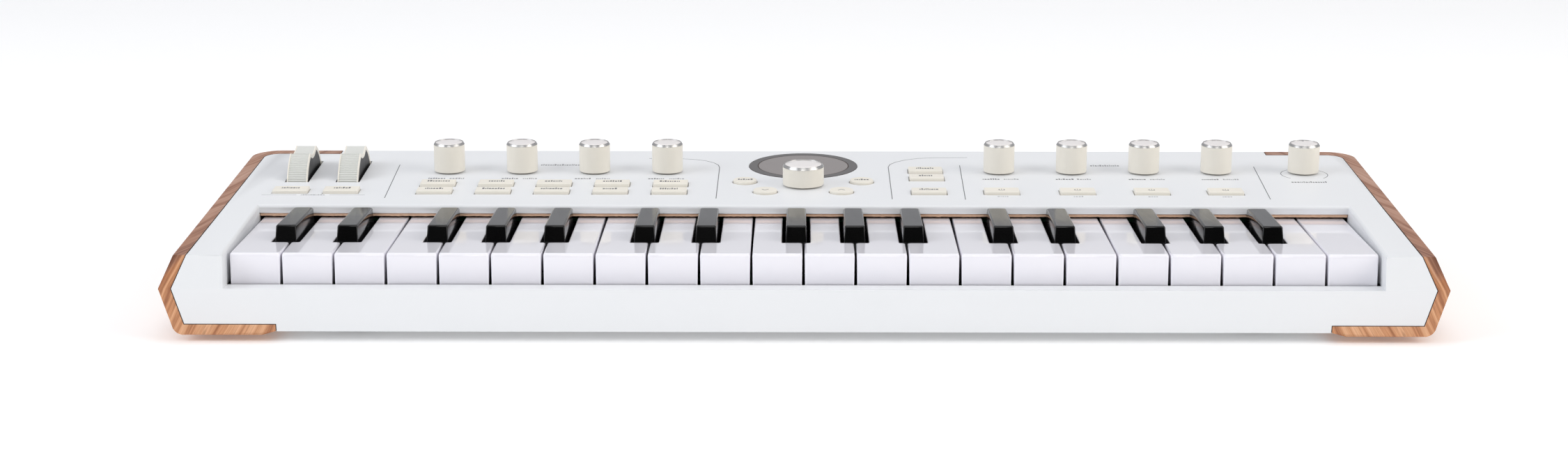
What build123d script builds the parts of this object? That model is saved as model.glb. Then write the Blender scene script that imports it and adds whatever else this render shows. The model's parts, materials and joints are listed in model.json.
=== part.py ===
from build123d import *
import math
import os

# A 37-key slim-key synthesizer: moulded white case, wooden end caps, panel with knobs, buttons,
# a round display and two wheels. Millimetres. +X to the player's right, +Y away from the player,
# +Z up. The origin is the centre of the footprint, on the surface that the feet stand on.

# ---------------------------------------------------------------- driving sizes
WIDTH = 545.0              # across the side ridges
DEPTH = 202.0              # front ridge to rear ridge
FOOT_HEIGHT = 3.0          # case bottom above the table
RIDGE_Z = 24.0             # height of the widest line of the case
PANEL_FRONT_Z = 38.3       # top plane at its front edge
PANEL_REAR_Z = 50.0        # top plane at its rear edge
SIDE_BEVEL = 6.6           # top plane inside the ridge, at the sides and the rear
FRONT_BEVEL = 1.7          # top plane behind the front ridge
SIDE_UNDERCUT = 5.5        # bottom inside the ridge, at the sides
END_UNDERCUT = 4.8         # bottom inside the ridge, at the front and the rear
REAR_CORNER_R = 13.0       # rear corners, seen from above
BOTTOM_EDGE_R = 4.8        # wooden bottom edge, at the sides and the rear
WALL = 2.5                 # moulded wall of both case halves

WOOD_SIDE = 5.6            # wooden shell at the side
WOOD_REAR = 6.5            # wooden shell at the rear
WOOD_FLOOR = 5.1           # wooden shell underneath
WOOD_ARM = 48.8            # how far the wood wraps in from the side ridge
ARM_CUT_X = 6.5            # slanted end of the wooden arm underneath
ARM_CUT_Z = 1.9
CHIN_LIFT = 1.7            # white bottom above the wooden bottom

WHITE_PITCH = 22.2
WHITE_COUNT = 22
KEY_GAP = 0.9              # between neighbouring white keys
KEY_FRONT = 10.0           # key fronts behind the front ridge
KEY_TOP_Z = 37.4
KEY_BOTTOM_Z = 23.0
KEY_WALL = 1.8
KEY_TOP_THICK = 2.4
KEY_VISIBLE = 74.7         # white key length in front of the panel
KEY_HIDDEN = 9.0           # full-height key under the panel lip
TAIL_TOP_Z = 31.5
TAIL_BOTTOM_Z = 23.5
TAIL_INSET = 1.5           # tail narrower than the key on each side
PIVOT_BACK = 31.3          # key pivot behind the panel's front edge
PIVOT_Z = 27.5
ROD_R = 2.0                # steel pivot rod
ROD_CLEARANCE = 0.05
TAIL_END = 4.5             # tail behind the rod's centre

BLACK_BASE = 9.1           # black key width where it leaves the white keys
BLACK_TOP = 8.7
BLACK_GAP = 1.5            # round a black key's base
BLACK_SETBACK = 25.5       # black key front behind the white key front
BLACK_RISE = 6.9           # above the white keys, at the front
BLACK_FALL = 0.8           # lower at the rear than at the front
BLACK_REAR_GAP = 4.2       # black key end in front of the panel
BLACK_FRONT_SLANT = 1.6
BLACK_REAR_SLANT = 0.8
BLACK_BOTTOM_Z = 24.0
BLACK_EDGE_R = 0.8

OPENING_GAP = 0.95         # key opening beside the outer keys
LEDGE_GAP = 0.45           # ledge to key fronts
LIP_DROP = 3.8             # panel's front wall
FELT_THICK = 1.5
FELT_DEPTH = 5.5
FELT_RECESS = 0.5

WHEEL_R = 23.7
WHEEL_W = 9.6
WHEEL_SINK = 11.6          # wheel axis below the panel
WHEEL_Y = 152.0            # wheel axis behind the front ridge
WHEEL_X = (-235.6, -212.0)
WHEEL_GAP = 0.6            # all round a wheel in its slot
WHEEL_SIDE_GAP = 0.8
WHEEL_DENT_R = 18.0
WHEEL_DENT_DEPTH = 3.4     # below the rim's top
AXLE_R = 2.5
AXLE_OUT = 3.4             # stub axle beyond the wheel's side
CRADLE_THICK = 2.0
CRADLE_GAP = 0.9
CRADLE_LENGTH = 22.0
CRADLE_BELOW = 6.0

KNOB_R = 7.25
KNOB_H = 13.7
KNOB_LIFT = 0.7            # knob above the panel
KNOB_EDGE = 0.7
KNOB_Y = 152.4
INSTRUMENT_KNOB_X = (-166.8, -132.5, -98.3, -64.0)
EFFECT_KNOB_X = (92.2, 126.3, 160.4, 194.5)
VOLUME_KNOB_X = 235.6
ENCODER_R = 9.5
ENCODER_H = 9.6
ENCODER_EDGE = 0.8
ENCODER_Y = 126.3
SHAFT_R = 3.0
SHAFT_CLEARANCE = 0.05
SHAFT_HOLE_GAP = 0.5       # panel hole round a shaft
SHAFT_REACH = 8.0          # shaft end below the panel surface
POT_SIZE = 11.0
POT_TOP = 3.2              # potentiometer top below the panel surface

DISPLAY_R = 25.75
DISPLAY_Y = 164.7
DISPLAY_PROUD = 0.15
DISPLAY_GAP = 0.1
DISPLAY_FLANGE = 1.6
DISPLAY_FLANGE_THICK = 2.0

BUTTON_W = 16.0
BUTTON_D = 8.6
BUTTON_CORNER_R = 0.6
BUTTON_PROUD = 1.4
BUTTON_GAP = 0.45
BUTTON_FLANGE = 1.0
BUTTON_FLANGE_THICK = 1.0
BUTTON_STEM_R = 1.5
BUTTON_STEM = 0.7          # stem below the flange
ROUND_BUTTON_R = 5.45
ROUND_BUTTON_PROUD = 1.2
FRONT_ROW_Y = 112.6        # button centres behind the front ridge
REAR_ROW_Y = 127.0
BUTTON_COLUMNS = (-169.2, -142.3, -115.4, -88.5, -61.5)
OCTAVE_X = (-235.2, -212.0)
OCTAVE_Y = 113.4
PERFORM_X = 57.6
PERFORM_Y = (112.4, 139.0, 153.6)
EFFECT_BUTTON_X = (90.9, 125.6, 159.6, 193.4)
ROUND_BUTTONS = ((-27.1, 132.3), (27.1, 132.3), (-17.5, 113.2), (17.5, 113.2))
SWITCH_SIZE = 5.0
SWITCH_TOP = 5.6           # switch top below the panel surface

BOARD_DROP = 9.2           # panel board below the panel surface
BOARD_THICK = 1.6
BOARD_FRONT = 101.0
BOARD_REAR = 181.0
BOARD_LEFT = -196.0
BOARD_RIGHT = 249.0

CHASSIS_Z = 11.0
CHASSIS_THICK = 2.0
CHASSIS_OVERHANG = 1.1     # chassis beyond the keys' span
RIB_THICK = 1.8
RIB_HEAD = 4.0             # rib above the rod's centre
RIB_HALF_DEPTH = 6.0
RAIL_DEPTH = 6.0
KEY_BOARD_Y = (60.0, 96.0)

BAY_HALF_WIDTH = 95.0      # socket recess in the rear wall
BAY_Z = (26.3, 37.3)
BAY_FLOOR = 194.5          # recess floor behind the front ridge
BAY_WALL = 3.0
SOCKET_X = (-78.0, -54.0, -30.0, -6.0)
SOCKET_Z = 31.6
SOCKET_R = 3.2             # bore for a 6.35 mm jack plug
SOCKET_BUSH_R = 4.6
SOCKET_PROUD = 1.6
SOCKET_BLOCK = 11.0
SOCKET_LENGTH = 17.0
PORT_X = (30.0, 52.0, 74.0)
PORT_W = 9.0
PORT_H = 3.3
PORT_WALL = 0.5
PORT_LENGTH = 8.0
MAIN_BOARD_Z = 23.9

SCREW_R = 1.5
SCREW_HEAD_R = 2.9
SCREW_HEAD_H = 1.7
SCREW_HOLE_GAP = 0.25
SCREW_SEAT = 3.0           # head seat above the case bottom
SCREW_GRIP = 8.0           # screw inside the upper boss
BOSS_R = 3.6
POST_R = 4.6
SCREW_PLACES = ((-252.6, 45.0), (252.6, 45.0), (-252.6, 108.0), (252.6, 108.0),
                (-150.0, 188.6), (150.0, 188.6))

FOOT_R = 8.0
FOOT_SEAT = 0.8            # foot sunk into the case bottom
FOOT_PLACES = ((-195.0, 34.0), (195.0, 34.0), (-195.0, 178.0), (195.0, 178.0))

# ---------------------------------------------------------------- derived sizes
FRONT = -DEPTH / 2
HALF = WIDTH / 2
BOTTOM = FOOT_HEIGHT
CHIN_BOTTOM = BOTTOM + CHIN_LIFT
TOP_FRONT_Y = FRONT + FRONT_BEVEL
TOP_REAR_Y = FRONT + DEPTH - SIDE_BEVEL
SLOPE = math.atan2(PANEL_REAR_Z - PANEL_FRONT_Z, TOP_REAR_Y - TOP_FRONT_Y)
KEY_SPAN = WHITE_PITCH * WHITE_COUNT
OPENING_HALF = KEY_SPAN / 2 + OPENING_GAP
KEY_FRONT_Y = FRONT + KEY_FRONT
PANEL_EDGE_Y = KEY_FRONT_Y + KEY_VISIBLE + 2.95
PIVOT_Y = PANEL_EDGE_Y + PIVOT_BACK
BLACK_CUT = BLACK_BASE + 2 * BLACK_GAP
BLACK_FRONT_Y = KEY_FRONT_Y + BLACK_SETBACK
BLACK_REAR_Y = PANEL_EDGE_Y - BLACK_REAR_GAP
WOOD_INNER_X = HALF - WOOD_ARM


def panel_z(y):
    """Height of the top plane at y."""
    return PANEL_FRONT_Z + math.tan(SLOPE) * (y - TOP_FRONT_Y)


LIP_BOTTOM_Z = panel_z(PANEL_EDGE_Y) - LIP_DROP


def on_panel(x, back):
    """Place on the top plane, its Z along the plane's normal. back is from the front ridge."""
    y = FRONT + back
    normal = (0, -math.sin(SLOPE), math.cos(SLOPE))
    return Plane(origin=(x, y, panel_z(y)), x_dir=(1, 0, 0), z_dir=normal).location


def block(x_range, y_range, z_range):
    """Box between three pairs of limits."""
    lows = [min(pair) for pair in (x_range, y_range, z_range)]
    highs = [max(pair) for pair in (x_range, y_range, z_range)]
    size = [high - low for low, high in zip(lows, highs)]
    return Pos(*lows) * Box(*size, align=(Align.MIN, Align.MIN, Align.MIN))


def upright(radius, z_low, z_high):
    """Cylinder along +Z between two heights."""
    tube = Cylinder(radius, z_high - z_low, align=(Align.CENTER, Align.CENTER, Align.MIN))
    return Pos(0, 0, z_low) * tube


def across(radius, x_low, x_high, y, z):
    """Cylinder along +X between two places."""
    tube = Cylinder(radius, x_high - x_low, align=(Align.CENTER, Align.CENTER, Align.MIN))
    return Pos(x_low, y, z) * Rot(0, 90, 0) * tube


def backward(radius, y_low, y_high, x, z):
    """Cylinder along +Y between two places."""
    tube = Cylinder(radius, y_high - y_low, align=(Align.CENTER, Align.CENTER, Align.MIN))
    return Pos(x, y_low, z) * Rot(-90, 0, 0) * tube


def outline(half, front, rear, z_front, z_rear, rear_r):
    """Rectangle with rounded rear corners, on a plane that may slope up towards the rear."""
    slope = math.atan2(z_rear - z_front, rear - front)
    length = math.hypot(rear - front, z_rear - z_front)
    normal = (0, -math.sin(slope), math.cos(slope))
    plane = Plane(origin=(0, front, z_front), x_dir=(1, 0, 0), z_dir=normal)
    face = Pos(0, length / 2) * Rectangle(2 * half, length)
    face = fillet(face.vertices().sort_by(Axis.Y)[-2:], rear_r)
    return plane * face


def body(side_in, front_in, rear_in, low_z, top_in, rear_r):
    """The case's double-tapered outline, moved in by a distance on each side."""
    low = (RIDGE_Z - low_z) / (RIDGE_Z - BOTTOM)
    ridge = (HALF - side_in, FRONT + front_in, FRONT + DEPTH - rear_in)
    rise = 1 - top_in / (PANEL_FRONT_Z - RIDGE_Z)
    sections = (
        (ridge[0] - SIDE_UNDERCUT * low, ridge[1] + END_UNDERCUT * low,
         ridge[2] - END_UNDERCUT * low, low_z, low_z),
        (ridge[0], ridge[1], ridge[2], RIDGE_Z, RIDGE_Z),
        (ridge[0] - SIDE_BEVEL * rise, ridge[1] + FRONT_BEVEL * rise,
         ridge[2] - SIDE_BEVEL * rise, None, None))
    faces = []
    for half, front, rear, z_front, z_rear in sections:
        if z_front is None:
            z_front = panel_z(front) - top_in
            z_rear = panel_z(rear) - top_in
        faces.append(outline(half, front, rear, z_front, z_rear, rear_r).face())
    lower = loft([faces[0], faces[1]], ruled=True)
    upper = loft([faces[1], faces[2]], ruled=True)
    return lower, upper


# ---------------------------------------------------------------- case and wood
def make_case():
    """Upper case, lower case and the two wooden end caps."""
    far = WIDTH
    lower, upper = body(0, 0, 0, BOTTOM, 0, REAR_CORNER_R)
    rim = lower.faces().sort_by(Axis.Z)[0].edges()
    side_rim = [edge for edge in rim if edge.center().Y > FRONT + END_UNDERCUT + 1]
    lower = fillet(side_rim, BOTTOM_EDGE_R)
    hull = lower + upper
    inner_r = REAR_CORNER_R - WOOD_SIDE
    core_low, core_high = body(WOOD_SIDE, -WOOD_ARM, WOOD_REAR, BOTTOM + WOOD_FLOOR, -3.0,
                               inner_r)
    core = core_low + core_high
    ends = block((WOOD_INNER_X, far), (-far, far), (0, far))
    ends += block((-far, -WOOD_INNER_X), (-far, far), (0, far))
    wood = (hull & ends) - core
    slant = Polyline((WOOD_INNER_X - 0.01, BOTTOM), (WOOD_INNER_X - 0.01, BOTTOM + ARM_CUT_Z),
                     (WOOD_INNER_X + ARM_CUT_X, BOTTOM), close=True)
    slant = extrude(Plane.XZ.offset(-far) * make_face(slant), 2 * far)
    wood -= slant + mirror(slant, about=Plane.YZ)
    white = hull - wood
    white -= block((-far, far), (-far, far), (0, CHIN_BOTTOM))

    cavity_r = inner_r - WALL
    low_end, high_end = body(WOOD_SIDE + WALL, WALL, WOOD_REAR + WALL,
                             BOTTOM + WOOD_FLOOR + WALL, WALL, cavity_r)
    low_mid, high_mid = body(WOOD_ARM + WALL, WALL, WALL, CHIN_BOTTOM + WALL, WALL,
                             cavity_r)
    cavity = low_end + high_end + low_mid + high_mid
    above = block((-far, far), (-far, far), (RIDGE_Z, far))
    below = block((-far, far), (-far, far), (0, RIDGE_Z))

    opening = block((-OPENING_HALF, OPENING_HALF), (-far, PANEL_EDGE_Y), (RIDGE_Z, far))
    framed = block((-OPENING_HALF - WALL, OPENING_HALF + WALL),
                   (-far, PANEL_EDGE_Y + WALL), (0, far))
    passage = block((-OPENING_HALF, OPENING_HALF), (PANEL_EDGE_Y - 1, PANEL_EDGE_Y + WALL),
                    (RIDGE_Z, LIP_BOTTOM_Z))
    top = (white & above) - opening - (cavity - framed) - passage

    ledge_y = KEY_FRONT_Y - LEDGE_GAP
    ledge = block((-OPENING_HALF, OPENING_HALF), (-far, ledge_y), (RIDGE_Z - WALL, RIDGE_Z))
    bottom = (white & below) - (cavity - ledge)
    return top, bottom, wood, hull


def add_top_features(top, hull):
    """Openings, cradles, bosses and the socket recess of the upper case."""
    bay = block((-BAY_HALF_WIDTH - WALL, BAY_HALF_WIDTH + WALL),
                (FRONT + BAY_FLOOR - BAY_WALL, FRONT + DEPTH), (RIDGE_Z, BAY_Z[1] + WALL))
    top += bay & hull
    top -= block((-BAY_HALF_WIDTH, BAY_HALF_WIDTH), (FRONT + BAY_FLOOR, DEPTH), BAY_Z)
    for x in SOCKET_X:
        top -= backward(SOCKET_BUSH_R, FRONT + BAY_FLOOR - BAY_WALL - 1, DEPTH, x, SOCKET_Z)
    for x in PORT_X:
        half_w = PORT_W / 2 + PORT_WALL
        half_h = PORT_H / 2 + PORT_WALL
        top -= block((x - half_w, x + half_w), (FRONT + BAY_FLOOR - BAY_WALL - 1, DEPTH),
                     (SOCKET_Z - half_h, SOCKET_Z + half_h))

    wheel_y, wheel_z = wheel_axis()
    for x in WHEEL_X:
        for side in (-1, 1):
            near = x + side * (WHEEL_W / 2 + CRADLE_GAP)
            cheek = block((near, near + side * CRADLE_THICK),
                          (wheel_y - CRADLE_LENGTH / 2, wheel_y + CRADLE_LENGTH / 2),
                          (wheel_z - CRADLE_BELOW, panel_z(wheel_y) - WALL + 1))
            top += cheek & hull
    for x in WHEEL_X:
        slot = WHEEL_W / 2 + WHEEL_SIDE_GAP
        top -= across(WHEEL_R + WHEEL_GAP, x - slot, x + slot, wheel_y, wheel_z)
        reach = WHEEL_W / 2 + CRADLE_GAP + CRADLE_THICK + 1
        top -= across(AXLE_R + ROD_CLEARANCE, x - reach, x + reach, wheel_y, wheel_z)

    for x in INSTRUMENT_KNOB_X + EFFECT_KNOB_X + (VOLUME_KNOB_X,):
        top -= on_panel(x, KNOB_Y) * Cylinder(SHAFT_R + SHAFT_HOLE_GAP, 4 * WALL)
    top -= on_panel(0, ENCODER_Y) * Cylinder(SHAFT_R + SHAFT_HOLE_GAP, 4 * WALL)
    top -= on_panel(0, DISPLAY_Y) * Cylinder(DISPLAY_R + DISPLAY_GAP, 4 * WALL)
    for x, back in rectangular_buttons():
        top -= on_panel(x, back) * Box(BUTTON_W + 2 * BUTTON_GAP, BUTTON_D + 2 * BUTTON_GAP,
                                       4 * WALL)
    for x, back in ROUND_BUTTONS:
        top -= on_panel(x, back) * Cylinder(ROUND_BUTTON_R + BUTTON_GAP, 4 * WALL)

    for x, back in SCREW_PLACES:
        y = FRONT + back
        boss = Pos(x, y, 0) * upright(BOSS_R, RIDGE_Z, panel_z(y) - WALL + 0.6)
        top += boss & hull
        top -= Pos(x, y, 0) * upright(SCREW_R, RIDGE_Z - 1, RIDGE_Z + SCREW_GRIP)
    return top


def screw_base(x):
    """Lowest face that a screw at x goes in through, and the white case's lowest face there."""
    if abs(x) > WOOD_INNER_X:
        return BOTTOM, BOTTOM + WOOD_FLOOR
    return CHIN_BOTTOM, CHIN_BOTTOM


def screw_holes():
    """Clearance holes and counterbores of every screw, as one tool."""
    tool = None
    for x, back in SCREW_PLACES:
        seat = screw_base(x)[0] + SCREW_SEAT
        hole = upright(SCREW_R + SCREW_HOLE_GAP, 0, RIDGE_Z + 0.01)
        hole += upright(SCREW_HEAD_R + SCREW_HOLE_GAP, 0, seat)
        hole = Pos(x, FRONT + back, 0) * hole
        tool = hole if tool is None else tool + hole
    return tool


def add_bottom_features(bottom):
    """Screw posts, counterbores and foot seats of the lower case."""
    for x, back in SCREW_PLACES:
        bottom += Pos(x, FRONT + back, 0) * upright(POST_R, screw_base(x)[1], RIDGE_Z)
    bottom -= screw_holes()
    for x, back in FOOT_PLACES:
        bottom -= Pos(x, FRONT + back, 0) * upright(FOOT_R, 0, CHIN_BOTTOM + FOOT_SEAT)
    return bottom


def rectangular_buttons():
    """Centres of the rectangular buttons."""
    places = [(x, OCTAVE_Y) for x in OCTAVE_X]
    places += [(x, back) for back in (FRONT_ROW_Y, REAR_ROW_Y) for x in BUTTON_COLUMNS]
    places += [(PERFORM_X, back) for back in PERFORM_Y]
    places += [(x, FRONT_ROW_Y) for x in EFFECT_BUTTON_X]
    return places


def wheel_axis():
    """Y and Z of the wheels' axis."""
    y = FRONT + WHEEL_Y + math.sin(SLOPE) * WHEEL_SINK
    z = panel_z(FRONT + WHEEL_Y) - math.cos(SLOPE) * WHEEL_SINK
    return y, z


# ---------------------------------------------------------------- keys
WHITE_NOTES = ("c", "d", "e", "f", "g", "a", "b")
HAS_SHARP = ("c", "d", "f", "g", "a")
FIRST_OCTAVE = 3


def sharp_centre(octave_x, note):
    """X of the black key after a white note, by equal semitones within each group."""
    if note in ("c", "d"):
        step = 3 * WHITE_PITCH / 5
        place = {"c": 1.5, "d": 3.5}[note]
        return octave_x + place * step
    step = 4 * WHITE_PITCH / 7
    place = {"f": 1.5, "g": 3.5, "a": 5.5}[note]
    return octave_x + 3 * WHITE_PITCH + place * step


def key_table():
    """White keys as (name, x limits in front, x limits behind) and black keys as (name, x)."""
    whites = []
    blacks = []
    for index in range(WHITE_COUNT):
        octave, step = divmod(index, len(WHITE_NOTES))
        note = WHITE_NOTES[step]
        octave_x = -KEY_SPAN / 2 + octave * len(WHITE_NOTES) * WHITE_PITCH
        left = -KEY_SPAN / 2 + index * WHITE_PITCH + KEY_GAP / 2
        right = left + WHITE_PITCH - KEY_GAP
        rear_left = left
        rear_right = right
        if step > 0 and WHITE_NOTES[step - 1] in HAS_SHARP:
            rear_left = sharp_centre(octave_x, WHITE_NOTES[step - 1]) + BLACK_CUT / 2
        if note in HAS_SHARP and index < WHITE_COUNT - 1:
            centre = sharp_centre(octave_x, note)
            rear_right = centre - BLACK_CUT / 2
            blacks.append((f"key_{note}_sharp_{FIRST_OCTAVE + octave}", centre))
        whites.append((f"key_{note}_{FIRST_OCTAVE + octave}", (left, right),
                       (rear_left, rear_right)))
    return whites, blacks


def key_tail(x_range, y_start):
    """Arm from a key back to the pivot rod, bored for the rod."""
    arm = block(x_range, (y_start, PIVOT_Y + TAIL_END), (TAIL_BOTTOM_Z, TAIL_TOP_Z))
    return arm - across(ROD_R + ROD_CLEARANCE, x_range[0] - 1, x_range[1] + 1, PIVOT_Y, PIVOT_Z)


def white_key(front_x, rear_x):
    """White key, hollow underneath, cut away beside the black keys."""
    notch_y = BLACK_FRONT_Y - BLACK_GAP
    end_y = PANEL_EDGE_Y + KEY_HIDDEN
    outer = block(front_x, (KEY_FRONT_Y, notch_y), (KEY_BOTTOM_Z, KEY_TOP_Z))
    outer += block(rear_x, (KEY_FRONT_Y + 1, end_y), (KEY_BOTTOM_Z, KEY_TOP_Z))
    front_edge = outer.edges().filter_by(Axis.X).group_by(Axis.Y)[0].sort_by(Axis.Z)[-1]
    outer = fillet(front_edge, KEY_WALL * 0.8)
    hollow_z = (KEY_BOTTOM_Z - 1, KEY_TOP_Z - KEY_TOP_THICK)
    wide = (front_x[0] + KEY_WALL, front_x[1] - KEY_WALL)
    narrow = (rear_x[0] + KEY_WALL, rear_x[1] - KEY_WALL)
    outer -= block(wide, (KEY_FRONT_Y + KEY_WALL, notch_y - KEY_WALL), hollow_z)
    outer -= block(narrow, (KEY_FRONT_Y + KEY_WALL, end_y - KEY_WALL), hollow_z)
    tail = key_tail((rear_x[0] + TAIL_INSET, rear_x[1] - TAIL_INSET), end_y - KEY_WALL)
    return outer + tail


def black_key(centre):
    """Black key: straight foot, tapered top with rounded edges, and its tail."""
    base = BLACK_BASE / 2
    top = BLACK_TOP / 2
    foot = block((centre - base, centre + base), (BLACK_FRONT_Y, BLACK_REAR_Y),
                 (BLACK_BOTTOM_Z, KEY_TOP_Z))
    length = BLACK_REAR_Y - BLACK_FRONT_Y
    low_face = Pos(centre, BLACK_FRONT_Y + length / 2, KEY_TOP_Z) * Rectangle(2 * base, length)
    top_front = BLACK_FRONT_Y + BLACK_FRONT_SLANT
    top_rear = BLACK_REAR_Y - BLACK_REAR_SLANT
    top_length = math.hypot(top_rear - top_front, BLACK_FALL)
    lean = math.degrees(math.asin(BLACK_FALL / top_length))
    middle_z = KEY_TOP_Z + BLACK_RISE - BLACK_FALL / 2
    top_face = (Pos(centre, (top_front + top_rear) / 2, middle_z) * Rot(-lean, 0, 0)
                * Rectangle(2 * top, top_length))
    cap = loft([low_face.face(), top_face.face()], ruled=True)
    rim = cap.faces().sort_by(Axis.Z)[-1].edges()
    cap = fillet(rim, BLACK_EDGE_R)
    key = foot + cap
    tail_x = (centre - base + TAIL_INSET * 0.6, centre + base - TAIL_INSET * 0.6)
    hollow = block((centre - base + KEY_WALL, centre + base - KEY_WALL),
                   (BLACK_FRONT_Y + KEY_WALL, BLACK_REAR_Y - KEY_WALL),
                   (BLACK_BOTTOM_Z - 1, KEY_TOP_Z))
    return key - hollow + key_tail(tail_x, BLACK_REAR_Y - KEY_WALL)


def key_chassis(whites):
    """Moulded tray under the keys with the comb that holds the steel pivot rod."""
    half = KEY_SPAN / 2 + CHASSIS_OVERHANG
    top_z = CHASSIS_Z + CHASSIS_THICK
    front_y = KEY_FRONT_Y + 3
    tray = block((-half, half), (front_y, PIVOT_Y + RIB_HALF_DEPTH), (CHASSIS_Z, top_z))
    foot_half = WOOD_INNER_X - WALL - 6
    for rail_y in (front_y + 10, PIVOT_Y - RAIL_DEPTH):
        tray += block((-foot_half, foot_half), (rail_y, rail_y + RAIL_DEPTH),
                      (CHIN_BOTTOM + WALL, CHASSIS_Z))
    places = [RIB_THICK / 2 - half, half - RIB_THICK / 2]
    for name, front_x, rear_x in whites[:-1]:
        if name.split("_")[1] in ("e", "b"):
            places.append(front_x[1] + KEY_GAP / 2)
    for x in places:
        tray += block((x - RIB_THICK / 2, x + RIB_THICK / 2),
                      (PIVOT_Y - RIB_HALF_DEPTH, PIVOT_Y + RIB_HALF_DEPTH),
                      (top_z - 1, PIVOT_Z + RIB_HEAD))
        tray -= across(ROD_R, x - RIB_THICK, x + RIB_THICK, PIVOT_Y, PIVOT_Z)
    rod = across(ROD_R, -half, half, PIVOT_Y, PIVOT_Z)
    return Compound(children=[tray.solid(), rod.solid()])


# ---------------------------------------------------------------- controls
def wheel(x):
    """Thumb wheel with a finger dent in its rim and a stub axle."""
    y, z = wheel_axis()
    disc = across(WHEEL_R, x - WHEEL_W / 2, x + WHEEL_W / 2, y, z)
    rise = WHEEL_R - WHEEL_DENT_DEPTH + WHEEL_DENT_R
    dent_y = y - math.sin(SLOPE) * rise
    dent_z = z + math.cos(SLOPE) * rise
    disc -= across(WHEEL_DENT_R, x - WHEEL_W, x + WHEEL_W, dent_y, dent_z)
    reach = WHEEL_W / 2 + AXLE_OUT
    return disc + across(AXLE_R, x - reach, x + reach, y, z)


def knob(x, back, radius, height, edge):
    """Turned knob with a bevelled top edge, on its shaft."""
    cap = Cylinder(radius, height, align=(Align.CENTER, Align.CENTER, Align.MIN))
    cap = chamfer(cap.faces().sort_by(Axis.Z)[-1].edges(), edge)
    shaft = Pos(0, 0, -SHAFT_REACH - KNOB_LIFT) * Cylinder(
        SHAFT_R, SHAFT_REACH + KNOB_LIFT + 1, align=(Align.CENTER, Align.CENTER, Align.MIN))
    return on_panel(x, back) * Pos(0, 0, KNOB_LIFT) * (cap + shaft)


def button_cap(cap, flange):
    """Button with its retaining flange and stem, standing on the panel plane."""
    stem_low = -WALL - BUTTON_FLANGE_THICK - 0.05 - BUTTON_STEM
    stem = upright(BUTTON_STEM_R, stem_low, -WALL)
    return cap + flange + stem


def panel_buttons():
    """Every button of the panel, each its own solid."""
    solids = []
    under = -WALL - 0.05
    for x, back in rectangular_buttons():
        cap = block((-BUTTON_W / 2, BUTTON_W / 2), (-BUTTON_D / 2, BUTTON_D / 2),
                    (under - 0.5, BUTTON_PROUD))
        cap = fillet(cap.edges().filter_by(Axis.Z), BUTTON_CORNER_R)
        flange = Pos(0, 0, under - BUTTON_FLANGE_THICK / 2) * Box(
            BUTTON_W + 2 * BUTTON_FLANGE, BUTTON_D + 2 * BUTTON_FLANGE, BUTTON_FLANGE_THICK)
        solids.append((on_panel(x, back) * button_cap(cap, flange)).solid())
    for x, back in ROUND_BUTTONS:
        cap = upright(ROUND_BUTTON_R, under - 0.5, ROUND_BUTTON_PROUD)
        flange = upright(ROUND_BUTTON_R + BUTTON_FLANGE, under - BUTTON_FLANGE_THICK, under)
        solids.append((on_panel(x, back) * button_cap(cap, flange)).solid())
    return Compound(children=solids)


def display_window():
    """Round display window with the flange that seats it under the panel."""
    window = upright(DISPLAY_R, -WALL - 1, DISPLAY_PROUD)
    flange_top = -WALL - 0.05
    flange = upright(DISPLAY_R + DISPLAY_FLANGE, flange_top - DISPLAY_FLANGE_THICK, flange_top)
    return on_panel(0, DISPLAY_Y) * (window + flange)


# ---------------------------------------------------------------- inside and underneath
def circuit_boards():
    """Panel board with potentiometers and switches, key contact board, and main board."""
    board_low = -BOARD_DROP - BOARD_THICK
    middle = (BOARD_FRONT + BOARD_REAR) / 2
    length = BOARD_REAR - BOARD_FRONT
    board = Pos((BOARD_LEFT + BOARD_RIGHT) / 2, 0, (board_low - BOARD_DROP) / 2) * Box(
        BOARD_RIGHT - BOARD_LEFT, length, BOARD_THICK)
    solids = [(on_panel(0, middle) * board).solid()]
    knobs = [(x, KNOB_Y) for x in INSTRUMENT_KNOB_X + EFFECT_KNOB_X + (VOLUME_KNOB_X,)]
    knobs.append((0, ENCODER_Y))
    for x, back in knobs:
        pot = block((-POT_SIZE / 2, POT_SIZE / 2), (-POT_SIZE / 2, POT_SIZE / 2),
                    (-BOARD_DROP, -POT_TOP))
        pot -= upright(SHAFT_R + SHAFT_CLEARANCE, -SHAFT_REACH - 0.2, 0)
        solids.append((on_panel(x, back) * pot).solid())
    for x, back in rectangular_buttons() + list(ROUND_BUTTONS):
        if x > BOARD_LEFT:
            switch = block((-SWITCH_SIZE / 2, SWITCH_SIZE / 2),
                           (-SWITCH_SIZE / 2, SWITCH_SIZE / 2), (-BOARD_DROP, -SWITCH_TOP))
            solids.append((on_panel(x, back) * switch).solid())
    half = KEY_SPAN / 2 - 8
    plate_z = CHASSIS_Z + CHASSIS_THICK
    contact = block((-half, half), (FRONT + KEY_BOARD_Y[0], FRONT + KEY_BOARD_Y[1]),
                    (plate_z, plate_z + BOARD_THICK))
    solids.append(contact.solid())
    socket_rear = FRONT + BAY_FLOOR - BAY_WALL
    main = block((-BAY_HALF_WIDTH, BAY_HALF_WIDTH), (socket_rear - 45, socket_rear - 0.5),
                 (MAIN_BOARD_Z - BOARD_THICK, MAIN_BOARD_Z))
    solids.append(main.solid())
    return Compound(children=solids)


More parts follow.
